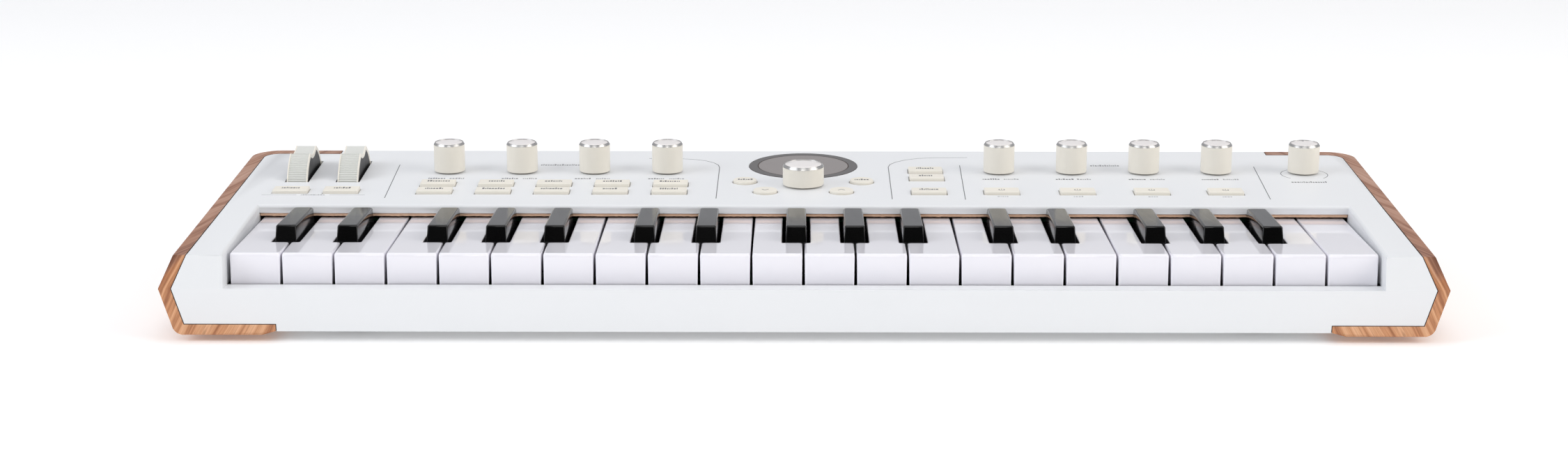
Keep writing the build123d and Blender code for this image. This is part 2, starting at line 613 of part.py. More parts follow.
def rear_sockets():
    """Jack sockets and small ports behind the recess in the rear wall."""
    solids = []
    wall_in = FRONT + BAY_FLOOR - BAY_WALL
    wall_out = FRONT + BAY_FLOOR
    half = SOCKET_BLOCK / 2
    for x in SOCKET_X:
        socket = block((x - half, x + half), (wall_in - SOCKET_LENGTH, wall_in),
                       (MAIN_BOARD_Z, SOCKET_Z + half))
        socket += backward(SOCKET_BUSH_R, wall_in - 1, wall_out + SOCKET_PROUD, x, SOCKET_Z)
        socket -= backward(SOCKET_R, wall_in - SOCKET_LENGTH + 1.5, wall_out + SOCKET_PROUD + 1,
                           x, SOCKET_Z)
        solids.append(socket.solid())
    for x in PORT_X:
        out_w = PORT_W / 2 + PORT_WALL
        out_h = PORT_H / 2 + PORT_WALL
        port = block((x - out_w, x + out_w), (wall_out - PORT_LENGTH, wall_out),
                     (SOCKET_Z - out_h, SOCKET_Z + out_h))
        port -= block((x - PORT_W / 2, x + PORT_W / 2),
                      (wall_out - PORT_LENGTH + 1, wall_out + 1),
                      (SOCKET_Z - PORT_H / 2, SOCKET_Z + PORT_H / 2))
        port += block((x - out_w + 2, x + out_w - 2), (wall_in - PORT_LENGTH + 3, wall_in - 0.2),
                      (MAIN_BOARD_Z, SOCKET_Z - out_h))
        solids.append(port.solid())
    return Compound(children=solids)


def felt_strip():
    """Felt strip under the panel's front lip."""
    y_low = PANEL_EDGE_Y + FELT_RECESS
    return block((-OPENING_HALF, OPENING_HALF), (y_low, y_low + FELT_DEPTH),
                 (LIP_BOTTOM_Z - FELT_THICK, LIP_BOTTOM_Z))


def case_screws():
    """Screws that hold the case halves together."""
    solids = []
    for x, back in SCREW_PLACES:
        seat = screw_base(x)[0] + SCREW_SEAT
        screw = upright(SCREW_HEAD_R, seat - SCREW_HEAD_H, seat)
        screw += upright(SCREW_R, seat - 0.5, RIDGE_Z + SCREW_GRIP)
        solids.append((Pos(x, FRONT + back, 0) * screw).solid())
    return Compound(children=solids)


def rubber_feet():
    """Four round feet."""
    foot = upright(FOOT_R, 0, CHIN_BOTTOM + FOOT_SEAT)
    foot = chamfer(foot.faces().sort_by(Axis.Z)[0].edges(), 0.6)
    return Compound(children=[(Pos(x, FRONT + back, 0) * foot).solid()
                              for x, back in FOOT_PLACES])


# ---------------------------------------------------------------- build and write
def main():
    """Builds every piece and writes one file for each."""
    os.makedirs("parts", exist_ok=True)
    top, bottom, wood, hull = make_case()
    whites, blacks = key_table()
    pieces = {
        "top_case": add_top_features(top, hull),
        "bottom_case": add_bottom_features(bottom),
        "wood_end_caps": wood - screw_holes(),
        "key_chassis": key_chassis(whites),
        "felt_strip": felt_strip(),
        "panel_buttons": panel_buttons(),
        "display_window": display_window(),
        "circuit_boards": circuit_boards(),
        "rear_sockets": rear_sockets(),
        "rubber_feet": rubber_feet(),
        "case_screws": case_screws(),
        "pitch_wheel": wheel(WHEEL_X[0]),
        "mod_wheel": wheel(WHEEL_X[1]),
        "volume_knob": knob(VOLUME_KNOB_X, KNOB_Y, KNOB_R, KNOB_H, KNOB_EDGE),
        "encoder_knob": knob(0, ENCODER_Y, ENCODER_R, ENCODER_H, ENCODER_EDGE),
    }
    for number, x in enumerate(INSTRUMENT_KNOB_X, start=1):
        pieces[f"instrument_knob_{number}"] = knob(x, KNOB_Y, KNOB_R, KNOB_H, KNOB_EDGE)
    for number, x in enumerate(EFFECT_KNOB_X, start=1):
        pieces[f"effect_knob_{number}"] = knob(x, KNOB_Y, KNOB_R, KNOB_H, KNOB_EDGE)
    for name, front_x, rear_x in whites:
        pieces[name] = white_key(front_x, rear_x)
    for name, centre in blacks:
        pieces[name] = black_key(centre)
    for name, piece in pieces.items():
        export_step(piece, f"parts/{name}.step")
        print(name, len(piece.solids()), round(piece.volume))


if __name__ == "__main__":
    main()
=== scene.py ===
import json
import logging
import math
import random
from dataclasses import dataclass
from enum import Enum

import bmesh
import bpy
from mathutils import Matrix, Vector, noise
from mathutils.bvhtree import BVHTree


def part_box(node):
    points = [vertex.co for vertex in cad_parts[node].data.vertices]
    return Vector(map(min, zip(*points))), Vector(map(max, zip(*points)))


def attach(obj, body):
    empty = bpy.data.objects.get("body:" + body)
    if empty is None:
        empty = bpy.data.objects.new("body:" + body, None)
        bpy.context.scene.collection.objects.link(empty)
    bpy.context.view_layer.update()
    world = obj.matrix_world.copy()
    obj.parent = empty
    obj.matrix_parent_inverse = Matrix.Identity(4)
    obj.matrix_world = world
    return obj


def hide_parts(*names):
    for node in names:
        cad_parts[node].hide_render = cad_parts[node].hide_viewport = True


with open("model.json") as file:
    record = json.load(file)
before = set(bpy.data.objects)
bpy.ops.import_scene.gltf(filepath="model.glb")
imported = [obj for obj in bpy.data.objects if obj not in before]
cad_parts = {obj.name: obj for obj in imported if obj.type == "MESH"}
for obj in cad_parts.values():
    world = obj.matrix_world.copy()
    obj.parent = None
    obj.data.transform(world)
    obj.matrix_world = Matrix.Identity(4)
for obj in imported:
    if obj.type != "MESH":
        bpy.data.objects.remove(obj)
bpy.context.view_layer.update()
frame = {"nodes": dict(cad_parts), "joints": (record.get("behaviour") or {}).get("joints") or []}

# A 37-key slim-key synthesizer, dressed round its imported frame. Metres; +X to the player's right,
# +Y away from the player, +Z up. Sizes named in millimetres are multiplied by MM where they are used.

MM = 0.001
LOG = logging.getLogger("synthesizer")
# where each turning joint's axis is, metres; the buttons' sliding joint has no place
JOINTS = {joint["name"]: tuple(joint["pos_m"]) for joint in frame["joints"] if "pos_m" in joint}

# ---------------------------------------------------------------- sizes shared by several pieces (mm)
FRONT_RIDGE_Y = -101.0     # front ridge of the case
PANEL_FRONT_BACK = 1.7     # top plane's front edge behind the front ridge
PANEL_FRONT_Z = 38.3
PANEL_REAR_BACK = 195.4    # top plane's rear edge behind the front ridge
PANEL_REAR_Z = 50.0
OPENING_HALF = 245.15      # key opening's half width
OPENING_REAR_BACK = 87.65  # panel's front edge, over the keys
RIDGE_Z = 24.0
TAIL_Z = (23.5, 31.5)      # underside and top of a key's tail
ROD_SLOT = 2.05            # radius of the slot in a tail that takes the pivot rod
SLOPE = math.atan2(PANEL_REAR_Z - PANEL_FRONT_Z, PANEL_REAR_BACK - PANEL_FRONT_BACK)

KNOB_LIFT = 0.7            # knob above the panel
BUTTON_ROWS = (112.6, 127.0)
BUTTON_COLUMNS = (-169.2, -142.3, -115.4, -88.5, -61.5)
OCTAVE_BUTTONS = ((-235.2, 113.4), (-212.0, 113.4))
PERFORM_BUTTONS = ((57.6, 112.4), (57.6, 139.0), (57.6, 153.6))
EFFECT_BUTTONS = ((90.9, 112.6), (125.6, 112.6), (159.6, 112.6), (193.4, 112.6))
ROUND_BUTTONS = ((-27.1, 132.3), (27.1, 132.3), (-17.5, 113.2), (17.5, 113.2))
INSTRUMENT_KNOBS = (-166.8, -132.5, -98.3, -64.0)
EFFECT_KNOBS = (92.2, 126.3, 160.4, 194.5)
VOLUME_KNOB = 235.6
KNOB_BACK = 152.4
DISPLAY_BACK = 164.7


# ---------------------------------------------------------------- placing and mesh building
def on_panel(x: float, back: float, lift: float = 0.0) -> Matrix:
    """Place on the sloping top plane.

    Args:
        x: millimetres to the right of the middle.
        back: millimetres behind the front ridge.
        lift: millimetres above the plane, along its normal.

    Returns:
        A matrix from local metres, Z along the plane's normal, to the frame.
    """
    rise = math.tan(SLOPE) * (back - PANEL_FRONT_BACK)
    spot = Vector((x, FRONT_RIDGE_Y + back, PANEL_FRONT_Z + rise)) * MM
    turn = Matrix.Rotation(SLOPE, 4, "X")
    return Matrix.Translation(spot) @ turn @ Matrix.Translation((0, 0, lift * MM))


def rounded_loop(corners: list[tuple[float, float]], radii: list[float],
                 steps: int) -> list[tuple[float, float]]:
    """Closed outline whose corners are rounded, with as many points whatever the radii.

    Args:
        corners: the outline's corners in order.
        radii: one radius for each corner.
        steps: straight pieces in each rounded corner.

    Returns:
        The outline's points.
    """
    points = []
    for index, corner in enumerate(corners):
        here = Vector(corner)
        before = (Vector(corners[index - 1]) - here).normalized()
        after = (Vector(corners[(index + 1) % len(corners)]) - here).normalized()
        half = before.angle(after) / 2
        radius = max(radii[index], 1e-3)
        centre = here + (before + after).normalized() * (radius / math.sin(half))
        first = here + before * (radius / math.tan(half)) - centre
        last = here + after * (radius / math.tan(half)) - centre
        sweep = math.pi - 2 * half
        for step in range(steps + 1):
            share = step / steps
            arm = (first * math.sin((1 - share) * sweep) + last * math.sin(share * sweep))
            point = centre + arm / math.sin(sweep)
            points.append((point.x, point.y))
    return points


def circle(radius: float, count: int) -> list[tuple[float, float]]:
    """Points of a circle.

    Args:
        radius: its radius.
        count: how many points.

    Returns:
        The points, anticlockwise.
    """
    turns = [2 * math.pi * index / count for index in range(count)]
    return [(radius * math.cos(turn), radius * math.sin(turn)) for turn in turns]


def skin(loops: list[list[tuple[float, float, float]]], ring: bool = False) -> bmesh.types.BMesh:
    """Mesh through loops of equal length, closed at both ends.

    Args:
        loops: loops of points in millimetres.
        ring: the last loop joins the first, and there are no end faces.

    Returns:
        The mesh, in metres.
    """
    mesh = bmesh.new()
    rows = [[mesh.verts.new(Vector(point) * MM) for point in loop] for loop in loops]
    pairs = list(zip(rows, rows[1:]))
    if ring:
        pairs.append((rows[-1], rows[0]))
    for low, high in pairs:
        for index in range(len(low)):
            after = (index + 1) % len(low)
            mesh.faces.new((low[index], low[after], high[after], high[index]))
    if not ring:
        mesh.faces.new(list(reversed(rows[0])))
        mesh.faces.new(rows[-1])
    bmesh.ops.recalc_face_normals(mesh, faces=mesh.faces)
    return mesh


def turned(profile: list[tuple[float, float]], count: int = 96,
           ring: bool = False) -> bmesh.types.BMesh:
    """Mesh turned round local Z.

    Args:
        profile: (radius, height) pairs in millimetres.
        count: points round the turn.
        ring: the profile is a closed section, and doesn't meet the axis.

    Returns:
        The mesh, in metres.
    """
    loops = [[(x, y, height) for x, y in circle(radius, count)] for radius, height in profile]
    return skin(loops, ring)


def stacked(sections: list[tuple[float, float, float, float]], steps: int = 4) -> bmesh.types.BMesh:
    """Mesh through rounded rectangles one above another.

    Args:
        sections: (width, depth, corner radius, height) in millimetres.
        steps: straight pieces in each rounded corner.

    Returns:
        The mesh, in metres.
    """
    loops = []
    for width, depth, radius, height in sections:
        corners = [(-width / 2, -depth / 2), (width / 2, -depth / 2),
                   (width / 2, depth / 2), (-width / 2, depth / 2)]
        loops.append([(x, y, height) for x, y in rounded_loop(corners, [radius] * 4, steps)])
    return skin(loops)


def merge(target: bmesh.types.BMesh, extra: bmesh.types.BMesh, place: Matrix | None = None) -> None:
    """Adds one mesh to another.

    Args:
        target: the mesh that grows.
        extra: the mesh that is used up.
        place: moves the extra mesh first.
    """
    if place is not None:
        bmesh.ops.transform(extra, matrix=place, verts=extra.verts)
    data = bpy.data.meshes.new("merging")
    extra.to_mesh(data)
    extra.free()
    target.from_mesh(data)
    bpy.data.meshes.remove(data)


def edge_arc(radius: float, steps: int) -> list[tuple[float, float]]:
    """Steps of a rounded top edge.

    Args:
        radius: its radius in millimetres.
        steps: straight pieces in it.

    Returns:
        (inset, drop below the top) pairs, from the wall up to the top.
    """
    turns = [math.pi / 2 * step / steps for step in range(steps + 1)]
    return [(radius * (1 - math.cos(turn)), radius * (1 - math.sin(turn))) for turn in turns]


def make_piece(name: str, mesh: bmesh.types.BMesh, finish: "Finish", body: str,
               place: Matrix | None = None, crease: float = 35.0) -> bpy.types.Object:
    """Turns a mesh into a piece that rides on a body.

    Args:
        name: the piece's name.
        mesh: its mesh, which is used up.
        finish: its finish.
        body: the body that carries it.
        place: moves the mesh into the frame first.
        crease: edges sharper than this many degrees stay crisp.

    Returns:
        The piece.
    """
    if place is not None:
        bmesh.ops.transform(mesh, matrix=place, verts=mesh.verts)
    data = bpy.data.meshes.new(name)
    mesh.to_mesh(data)
    mesh.free()
    data.shade_smooth()
    data.set_sharp_from_angle(angle=math.radians(crease))
    data.materials.append(finish.material())
    piece = bpy.data.objects.new(name, data)
    bpy.context.scene.collection.objects.link(piece)
    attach(piece, body)
    LOG.info("%s rides on %s", name, body)
    return piece


# ---------------------------------------------------------------- finishes
def linear(code: str) -> tuple[float, float, float, float]:
    """Turns an sRGB colour to linear.

    Args:
        code: the colour as "#RRGGBB".

    Returns:
        Linear red, green, blue and alpha.
    """
    parts = [int(code[start:start + 2], 16) / 255 for start in (1, 3, 5)]
    red, green, blue = [part / 12.92 if part <= 0.04045 else ((part + 0.055) / 1.055) ** 2.4
                        for part in parts]
    return red, green, blue, 1.0


def add_node(tree: bpy.types.NodeTree, kind: str, inputs: dict | None = None,
             **settings: object) -> bpy.types.Node:
    """Adds a shader node.

    Args:
        tree: the material's node tree.
        kind: the node's type after "ShaderNode".
        inputs: value or output socket for each input, by name or number.
        settings: the node's own settings.

    Returns:
        The node.
    """
    made = tree.nodes.new("ShaderNode" + kind)
    for name, value in settings.items():
        setattr(made, name, value)
    for name, value in (inputs or {}).items():
        if isinstance(value, bpy.types.NodeSocket):
            tree.links.new(value, made.inputs[name])
        else:
            made.inputs[name].default_value = value
    return made


def per_mm(size: float) -> float:
    """Pattern scale of a pattern of a given size.

    Args:
        size: the pattern's size, mm.

    Returns:
        The scale, in repeats a metre.
    """
    return 1 / (size * MM)


def speckle(tree: bpy.types.NodeTree, size: float, detail: float = 2.0,
            roughness: float = 0.5) -> bpy.types.NodeSocket:
    """Soft random pattern in the piece's own space.

    Args:
        tree: the material's node tree.
        size: size of its patches, mm.
        detail: how many finer layers it has.
        roughness: how strong the finer layers are.

    Returns:
        The pattern's output, from 0 to 1.
    """
    spot = add_node(tree, "TexCoord").outputs["Object"]
    return add_node(tree, "TexNoise", {"Vector": spot, "Scale": per_mm(size), "Detail": detail,
                                       "Roughness": roughness}).outputs["Fac"]


def tint(tree: bpy.types.NodeTree, shader: bpy.types.Node, share: bpy.types.NodeSocket,
         first: str, second: str) -> None:
    """Colours a surface with two colours.

    Args:
        tree: the material's node tree.
        shader: the surface shader.
        share: the pattern that chooses between them.
        first: the colour where the pattern is 0.
        second: the colour where it is 1.
    """
    mixed = add_node(tree, "MixRGB", {
        "Fac": share, "Color1": linear(first), "Color2": linear(second)})
    tree.links.new(mixed.outputs["Color"], shader.inputs["Base Color"])


def uneven_gloss(tree: bpy.types.NodeTree, shader: bpy.types.Node, share: bpy.types.NodeSocket,
                 least: float, most: float) -> None:
    """Lets a surface's roughness wander.

    Args:
        tree: the material's node tree.
        shader: the surface shader.
        share: the pattern that it follows.
        least: the lowest roughness.
        most: the highest roughness.
    """
    wear = add_node(tree, "MapRange", {
        "Value": share, "From Min": 0.3, "From Max": 0.7, "To Min": least, "To Max": most})
    tree.links.new(wear.outputs["Result"], shader.inputs["Roughness"])


def relief(tree: bpy.types.NodeTree, shader: bpy.types.Node, height: bpy.types.NodeSocket,
           deep: float, strength: float) -> None:
    """Gives a surface a fine relief.

    Args:
        tree: the material's node tree.
        shader: the surface shader.
        height: the pattern that it follows.
        deep: the relief's height, mm.
        strength: how strongly it shows, from 0 to 1.
    """
    bump = add_node(tree, "Bump", {"Height": height, "Distance": deep * MM, "Strength": strength})
    tree.links.new(bump.outputs["Normal"], shader.inputs["Normal"])


@dataclass(frozen=True)
class Finish:
    """A surface finish. Each kind dresses the one shader that it is given."""

    name: str
    colour: str
    roughness: float

    def dress(self, tree: bpy.types.NodeTree, shader: bpy.types.Node) -> None:
        """Adds this finish's own nodes.

        Args:
            tree: the material's node tree.
            shader: the surface shader.
        """
        raise NotImplementedError

    def material(self) -> bpy.types.Material:
        """Makes the finish's material once.

        Returns:
            The material.
        """
        made = bpy.data.materials.get(self.name)
        if made is not None:
            return made
        made = bpy.data.materials.new(self.name)
        made.use_nodes = True
        tree = made.node_tree
        tree.nodes.clear()
        shader = add_node(tree, "BsdfPrincipled", {
            "Base Color": linear(self.colour), "Roughness": self.roughness})
        add_node(tree, "OutputMaterial", {"Surface": shader.outputs["BSDF"]})
        self.dress(tree, shader)
        made.diffuse_color = linear(self.colour)
        return made


@dataclass(frozen=True)
class MouldedPlastic(Finish):
    """Injection-moulded plastic: an even colour with the fine grain of a spark-eroded mould."""

    grain: float = 0.5         # grain size, mm
    depth: float = 0.004       # grain height, mm
    drift: str = ""            # colour that it drifts to in broad soft patches
    ior: float = 1.53
    coat: float = 0.0
    scuff: float = 0.08        # how far roughness wanders

    def dress(self, tree: bpy.types.NodeTree, shader: bpy.types.Node) -> None:
        """Adds the grain, the soft drift of colour and the uneven gloss.

        Args:
            tree: the material's node tree.
            shader: the surface shader.
        """
        broad = speckle(tree, 35)
        tint(tree, shader, broad, self.colour, self.drift or self.colour)
        uneven_gloss(tree, shader, broad, self.roughness - self.scuff / 2,
                     self.roughness + self.scuff / 2)
        relief(tree, shader, speckle(tree, self.grain, 1.0, 0.4), self.depth, 0.6)
        shader.inputs["IOR"].default_value = self.ior
        shader.inputs["Coat Weight"].default_value = self.coat
        shader.inputs["Coat Roughness"].default_value = 0.06


@dataclass(frozen=True)
class LitPaper(MouldedPlastic):
    """White paper with a light behind it."""

    glow: float = 0.15

    def dress(self, tree: bpy.types.NodeTree, shader: bpy.types.Node) -> None:
        """Adds the paper's tooth, as a fine grain, and its glow.

        Args:
            tree: the material's node tree.
            shader: the surface shader.
        """
        super().dress(tree, shader)
        shader.inputs["Emission Color"].default_value = (1.0, 1.0, 1.0, 1.0)
        shader.inputs["Emission Strength"].default_value = self.glow


@dataclass(frozen=True)
class OiledWood(Finish):
    """Oiled beech-like hardwood shell: straight streaks of growth rings and short dark pores."""

    dark: str = "#9A5F3D"
    pore: str = "#7A4526"
    light: str = "#E6B48C"
    rim: str = "#D2D6EF"       # multiplied over what faces up: painted shade
    streak: float = 1.2        # growth ring spacing, mm
    length: float = 70.0       # length of a streak, mm

    def streaks(self, tree: bpy.types.NodeTree, grain: bpy.types.NodeSocket, across: float,
                along: float, detail: float, roughness: float = 0.5) -> bpy.types.NodeSocket:
        """Random pattern drawn out along the grain.

        Args:
            tree: the material's node tree.
            grain: the place, turned so that the grain runs at a right angle to X.
            across: size of a streak across the grain, mm.
            along: size of a streak along it, mm.
            detail: how many finer layers it has.
            roughness: how strong the finer layers are.

        Returns:
            The pattern's output.
        """
        drawn = add_node(tree, "VectorMath", {
            0: grain, 1: (per_mm(across), per_mm(along), per_mm(along))}, operation="MULTIPLY")
        return add_node(tree, "TexNoise", {
            "Vector": drawn.outputs["Vector"], "Scale": 1.0, "Detail": detail,
            "Roughness": roughness}).outputs["Fac"]

    def dress(self, tree: bpy.types.NodeTree, shader: bpy.types.Node) -> None:
        """Adds streaks, pores and their relief, mirrored about the middle of the case, and painted
        shade on what faces up.

        Args:
            tree: the material's node tree.
            shader: the surface shader.
        """
        spot = add_node(tree, "TexCoord").outputs["Object"]
        mirrored = add_node(tree, "VectorMath", {0: spot}, operation="ABSOLUTE")
        parts = add_node(tree, "SeparateXYZ", {"Vector": mirrored.outputs["Vector"]})
        raw = add_node(tree, "SeparateXYZ", {"Vector": spot})
        point = add_node(tree, "CombineXYZ", {
            "X": parts.outputs["X"], "Y": raw.outputs["Y"], "Z": raw.outputs["Z"]})
        wander = add_node(tree, "TexNoise", {"Vector": point.outputs["Vector"],
                                             "Scale": per_mm(60), "Detail": 1.0})
        bend = add_node(tree, "VectorMath", {
            0: wander.outputs["Color"], 1: (0.010, 0.010, 0.010)}, operation="MULTIPLY")
        bent = add_node(tree, "VectorMath", {
            0: point.outputs["Vector"], 1: bend.outputs["Vector"]}, operation="ADD")
        turn = add_node(tree, "VectorRotate", {
            "Vector": bent.outputs["Vector"], "Rotation": GRAIN_TURN}, rotation_type="EULER_XYZ")
        grain = turn.outputs["Vector"]
        ring_tone = self.streaks(tree, grain, self.streak, self.length, 4.0, 0.62)
        band_tone = self.streaks(tree, grain, self.streak * 5, self.length * 5, 2.0)
        tone = add_node(tree, "Math", {0: ring_tone, 1: band_tone}, operation="ADD")
        shade = add_node(tree, "MapRange", {
            "Value": tone.outputs["Value"], "From Min": 0.76, "From Max": 1.24})
        ramp = add_node(tree, "ValToRGB", {"Fac": shade.outputs["Result"]})
        ramp.color_ramp.elements[0].color = linear(self.dark)
        ramp.color_ramp.elements[1].color = linear(self.light)
        middle = ramp.color_ramp.elements.new(0.45)
        middle.color = linear(self.colour)
        # pores are 0.3 mm across in the real wood, and are drawn 0.6 mm across so that they show
        pore_mask = add_node(tree, "MapRange", {
            "Value": self.streaks(tree, grain, 0.6, 9, 2.0), "From Min": 0.56, "From Max": 0.72,
            "To Min": 0.0, "To Max": 0.35})
        speckled = add_node(tree, "MixRGB", {
            "Fac": pore_mask.outputs["Result"], "Color1": ramp.outputs["Color"],
            "Color2": linear(self.pore)})
        # painted shade: the upper rim, and whatever else faces up, is darker and less orange
        facing = add_node(tree, "SeparateXYZ", {"Vector": add_node(tree, "TexCoord").outputs["Normal"]})
        top_shade_share = add_node(tree, "MapRange", {
            "Value": facing.outputs["Z"], "From Min": 0.3, "From Max": 0.75})
        top_shaded = add_node(tree, "MixRGB", {
            "Fac": top_shade_share.outputs["Result"], "Color1": speckled.outputs["Color"],
            "Color2": linear(self.rim)}, blend_type="MULTIPLY")
        tree.links.new(top_shaded.outputs["Color"], shader.inputs["Base Color"])
        relief(tree, shader, ring_tone, 0.12, 0.35)
        shader.inputs["IOR"].default_value = 1.48


@dataclass(frozen=True)
class PressedFelt(Finish):
    """Pressed wool felt: matt, mottled and covered in short fibres."""

    fibre: str = "#CFA487"

    def dress(self, tree: bpy.types.NodeTree, shader: bpy.types.Node) -> None:
        """Adds the mottling and the fibres' relief.

        Args:
            tree: the material's node tree.
            shader: the surface shader.
        """
        clump = speckle(tree, 2.2, 4.0, 0.7)
        tint(tree, shader, clump, self.fibre, self.colour)
        relief(tree, shader, clump, 0.3, 0.8)
        shader.inputs["Sheen Weight"].default_value = 0.4
        shader.inputs["Sheen Roughness"].default_value = 0.6


@dataclass(frozen=True)
class Metal(Finish):
    """Bare or plated metal with very fine tool marks and an uneven polish."""

    line: float = 0.25         # spacing of the tool marks, mm
    depth: float = 0.002       # height of the tool marks, mm

    def dress(self, tree: bpy.types.NodeTree, shader: bpy.types.Node) -> None:
        """Adds the tool marks and the uneven polish.

        Args:
            tree: the material's node tree.
            shader: the surface shader.
        """
        uneven_gloss(tree, shader, speckle(tree, 6), self.roughness * 0.8, self.roughness * 1.25)
        relief(tree, shader, speckle(tree, self.line), self.depth, 0.4)
        shader.inputs["Metallic"].default_value = 1.0


@dataclass(frozen=True)
class CoverGlass(Finish):
    """Toughened cover glass over a dark or grey layer: nearly black straight on, bright at a slant."""

    haze: str = "#2A2625"

    def dress(self, tree: bpy.types.NodeTree, shader: bpy.types.Node) -> None:
        """Adds the faint mottle of the layer under the glass.

        Args:
            tree: the material's node tree.
            shader: the surface shader.
        """
        tint(tree, shader, speckle(tree, 12, 1.0), self.colour, self.haze)
        shader.inputs["IOR"].default_value = 1.52


@dataclass(frozen=True)
class SolderMask(Finish):
    """Epoxy circuit board under green solder mask, with the faint weave and tracks showing."""

    track: str = "#2C7A52"

    def dress(self, tree: bpy.types.NodeTree, shader: bpy.types.Node) -> None:
        """Adds copper tracks under the mask.

        Args:
            tree: the material's node tree.
            shader: the surface shader.
        """
        spot = add_node(tree, "TexCoord").outputs["Object"]
        tracks = add_node(tree, "TexBrick", {
            "Vector": spot, "Scale": per_mm(60), "Color1": linear(self.colour),
            "Color2": linear(self.colour), "Mortar": linear(self.track),
            "Mortar Size": 0.03, "Brick Width": 0.4, "Row Height": 0.12})
        tree.links.new(tracks.outputs["Color"], shader.inputs["Base Color"])
        shader.inputs["IOR"].default_value = 1.55


# Turns the wood's streaks to lean inwards at the front and to run nearly along the sides.
GRAIN_TURN = (0.0, math.radians(30), math.radians(-15))


# Injection-moulded ABS, sprayed satin white: soft, even and slightly cool.
WHITE_CASE = MouldedPlastic("satin_white_abs", "#ECEDEF", 0.42, drift="#EAECEE")
# Oiled hardwood, planed and rounded by hand.
WOOD = OiledWood("oiled_hardwood", "#C98D62", 0.46)
# Painted shadow of the hairline gap where the wood meets the moulding; it also rings the display's
# screen.
PAINTED_GAP_SHADOW = MouldedPlastic("painted_gap_shadow", "#3A2C26", 0.8, grain=0.4)
# Acrylic-topped white keys: mirror-polished, with a lavender cast.
WHITE_KEY = MouldedPlastic("polished_white_key_acrylic", "#F4F2F8", 0.05, grain=6.0,
                           depth=0.003, drift="#F2F1F8", ior=1.5, coat=0.5, scuff=0.03)
# Black ABS keys: a deep gloss that fingers have dulled a little on top.
BLACK_KEY = MouldedPlastic("gloss_black_key_abs", "#050505", 0.14, grain=3.0, depth=0.003,
                           drift="#0A0A0A", ior=1.44, scuff=0.1)
# Cream ABS of knobs and buttons, with a fine satin texture.
IVORY = MouldedPlastic("satin_ivory_abs", "#F1ECE1", 0.4, grain=0.4, drift="#EEE9DD")
# Cap let into a knob's top, a little pinker and glossier than its side.
KNOB_CAP = MouldedPlastic("gloss_white_cap_abs", "#F1ECEA", 0.2, grain=2.0, depth=0.002)
# Diamond-turned aluminium edge: a soft bright polish without tool marks.
BRIGHT_EDGE = Metal("diamond_turned_aluminium", "#C3C2C0", 0.28, depth=0.0)
# Soft thermoplastic tread of the thumb wheels.
WHEEL_TREAD = MouldedPlastic("grey_tpe_tread", "#DADBD6", 0.55, grain=0.4, drift="#D5D6D1")
# Black moulded hub, case insides and chassis.
BLACK_MOULDED = MouldedPlastic("black_moulded_nylon", "#141415", 0.5, grain=0.6)
# Glass over the display's black border, and over its grey panel.
BORDER_GLASS = CoverGlass("black_bordered_cover_glass", "#3A3533", 0.06, haze="#423C3A")
SCREEN_GLASS = CoverGlass("grey_display_cover_glass", "#7F7875", 0.05, haze="#857D7A")
FELT = PressedFelt("tan_wool_felt", "#F7D3B4", 0.95, fibre="#DDAE8B")
BOARD = SolderMask("green_solder_mask_board", "#1E5E3F", 0.35)
# Nickel-plated brass bushes and steel shells of the sockets.
NICKEL = Metal("nickel_plated_brass", "#C9C5BC", 0.24)
ZINC_STEEL = Metal("zinc_plated_steel", "#B4B6B8", 0.32)
RUBBER = MouldedPlastic("black_foot_rubber", "#1B1B1C", 0.8, grain=0.8, depth=0.02)
# Screen-printed ink, grey on the white case.
INK = MouldedPlastic("grey_screen_print_ink", "#6A6A6D", 0.6, grain=0.3)
PALE_INK = MouldedPlastic("pale_screen_print_ink", "#97979A", 0.6, grain=0.3)
# Studio paper, lit a little from behind, so that it stays white round the object.
PAPER_FLOOR = LitPaper("white_studio_paper", "#FBFBFB", 0.9, grain=2.0, depth=0.02)


# ---------------------------------------------------------------- case halves and wooden ends
def copied_mesh(node: str) -> bmesh.types.BMesh:
    """Clean copy of a frame node's mesh, with its flat faces made whole again.

    Args:
        node: the node's name.

    Returns:
        The copy.
    """
    mesh = bmesh.new()
    mesh.from_mesh(frame["nodes"][node].data)
    bmesh.ops.remove_doubles(mesh, verts=mesh.verts, dist=1e-6)
    bmesh.ops.dissolve_limit(mesh, angle_limit=math.radians(0.6), verts=mesh.verts,
                             edges=mesh.edges)
    return mesh


def crisp_edges(mesh: bmesh.types.BMesh, degrees: float) -> list[bmesh.types.BMEdge]:
    """Edges at which the surface turns.

    Args:
        mesh: the mesh.
        degrees: the least turn.

    Returns:
        The edges.
    """
    least = math.radians(degrees)
    return [edge for edge in mesh.edges
            if len(edge.link_faces) == 2 and edge.calc_face_angle(0.0) > least]


def round_edges(mesh: bmesh.types.BMesh, edges: list[bmesh.types.BMEdge], width: float,
                steps: int = 2) -> list[bmesh.types.BMFace]:
    """Rounds edges of a mesh.

    Args:
        mesh: the mesh.
        edges: the edges to round.
        width: how far the rounding reaches from each edge, mm.
        steps: straight pieces across the rounding.

    Returns:
        The new faces.
    """
    made = bmesh.ops.bevel(mesh, geom=edges, offset=width * MM, offset_type="OFFSET",
                           segments=steps, profile=0.5, affect="EDGES", clamp_overlap=False)
    return made["faces"]


def at_ridge(edge: bmesh.types.BMEdge) -> bool:
    """Whether an edge lies on the ridge where the two case halves meet.

    Args:
        edge: the edge.

    Returns:
        True when both its ends are at the ridge's height.
    """
    return all(abs(vertex.co.z - RIDGE_Z * MM) < 0.05 * MM for vertex in edge.verts)


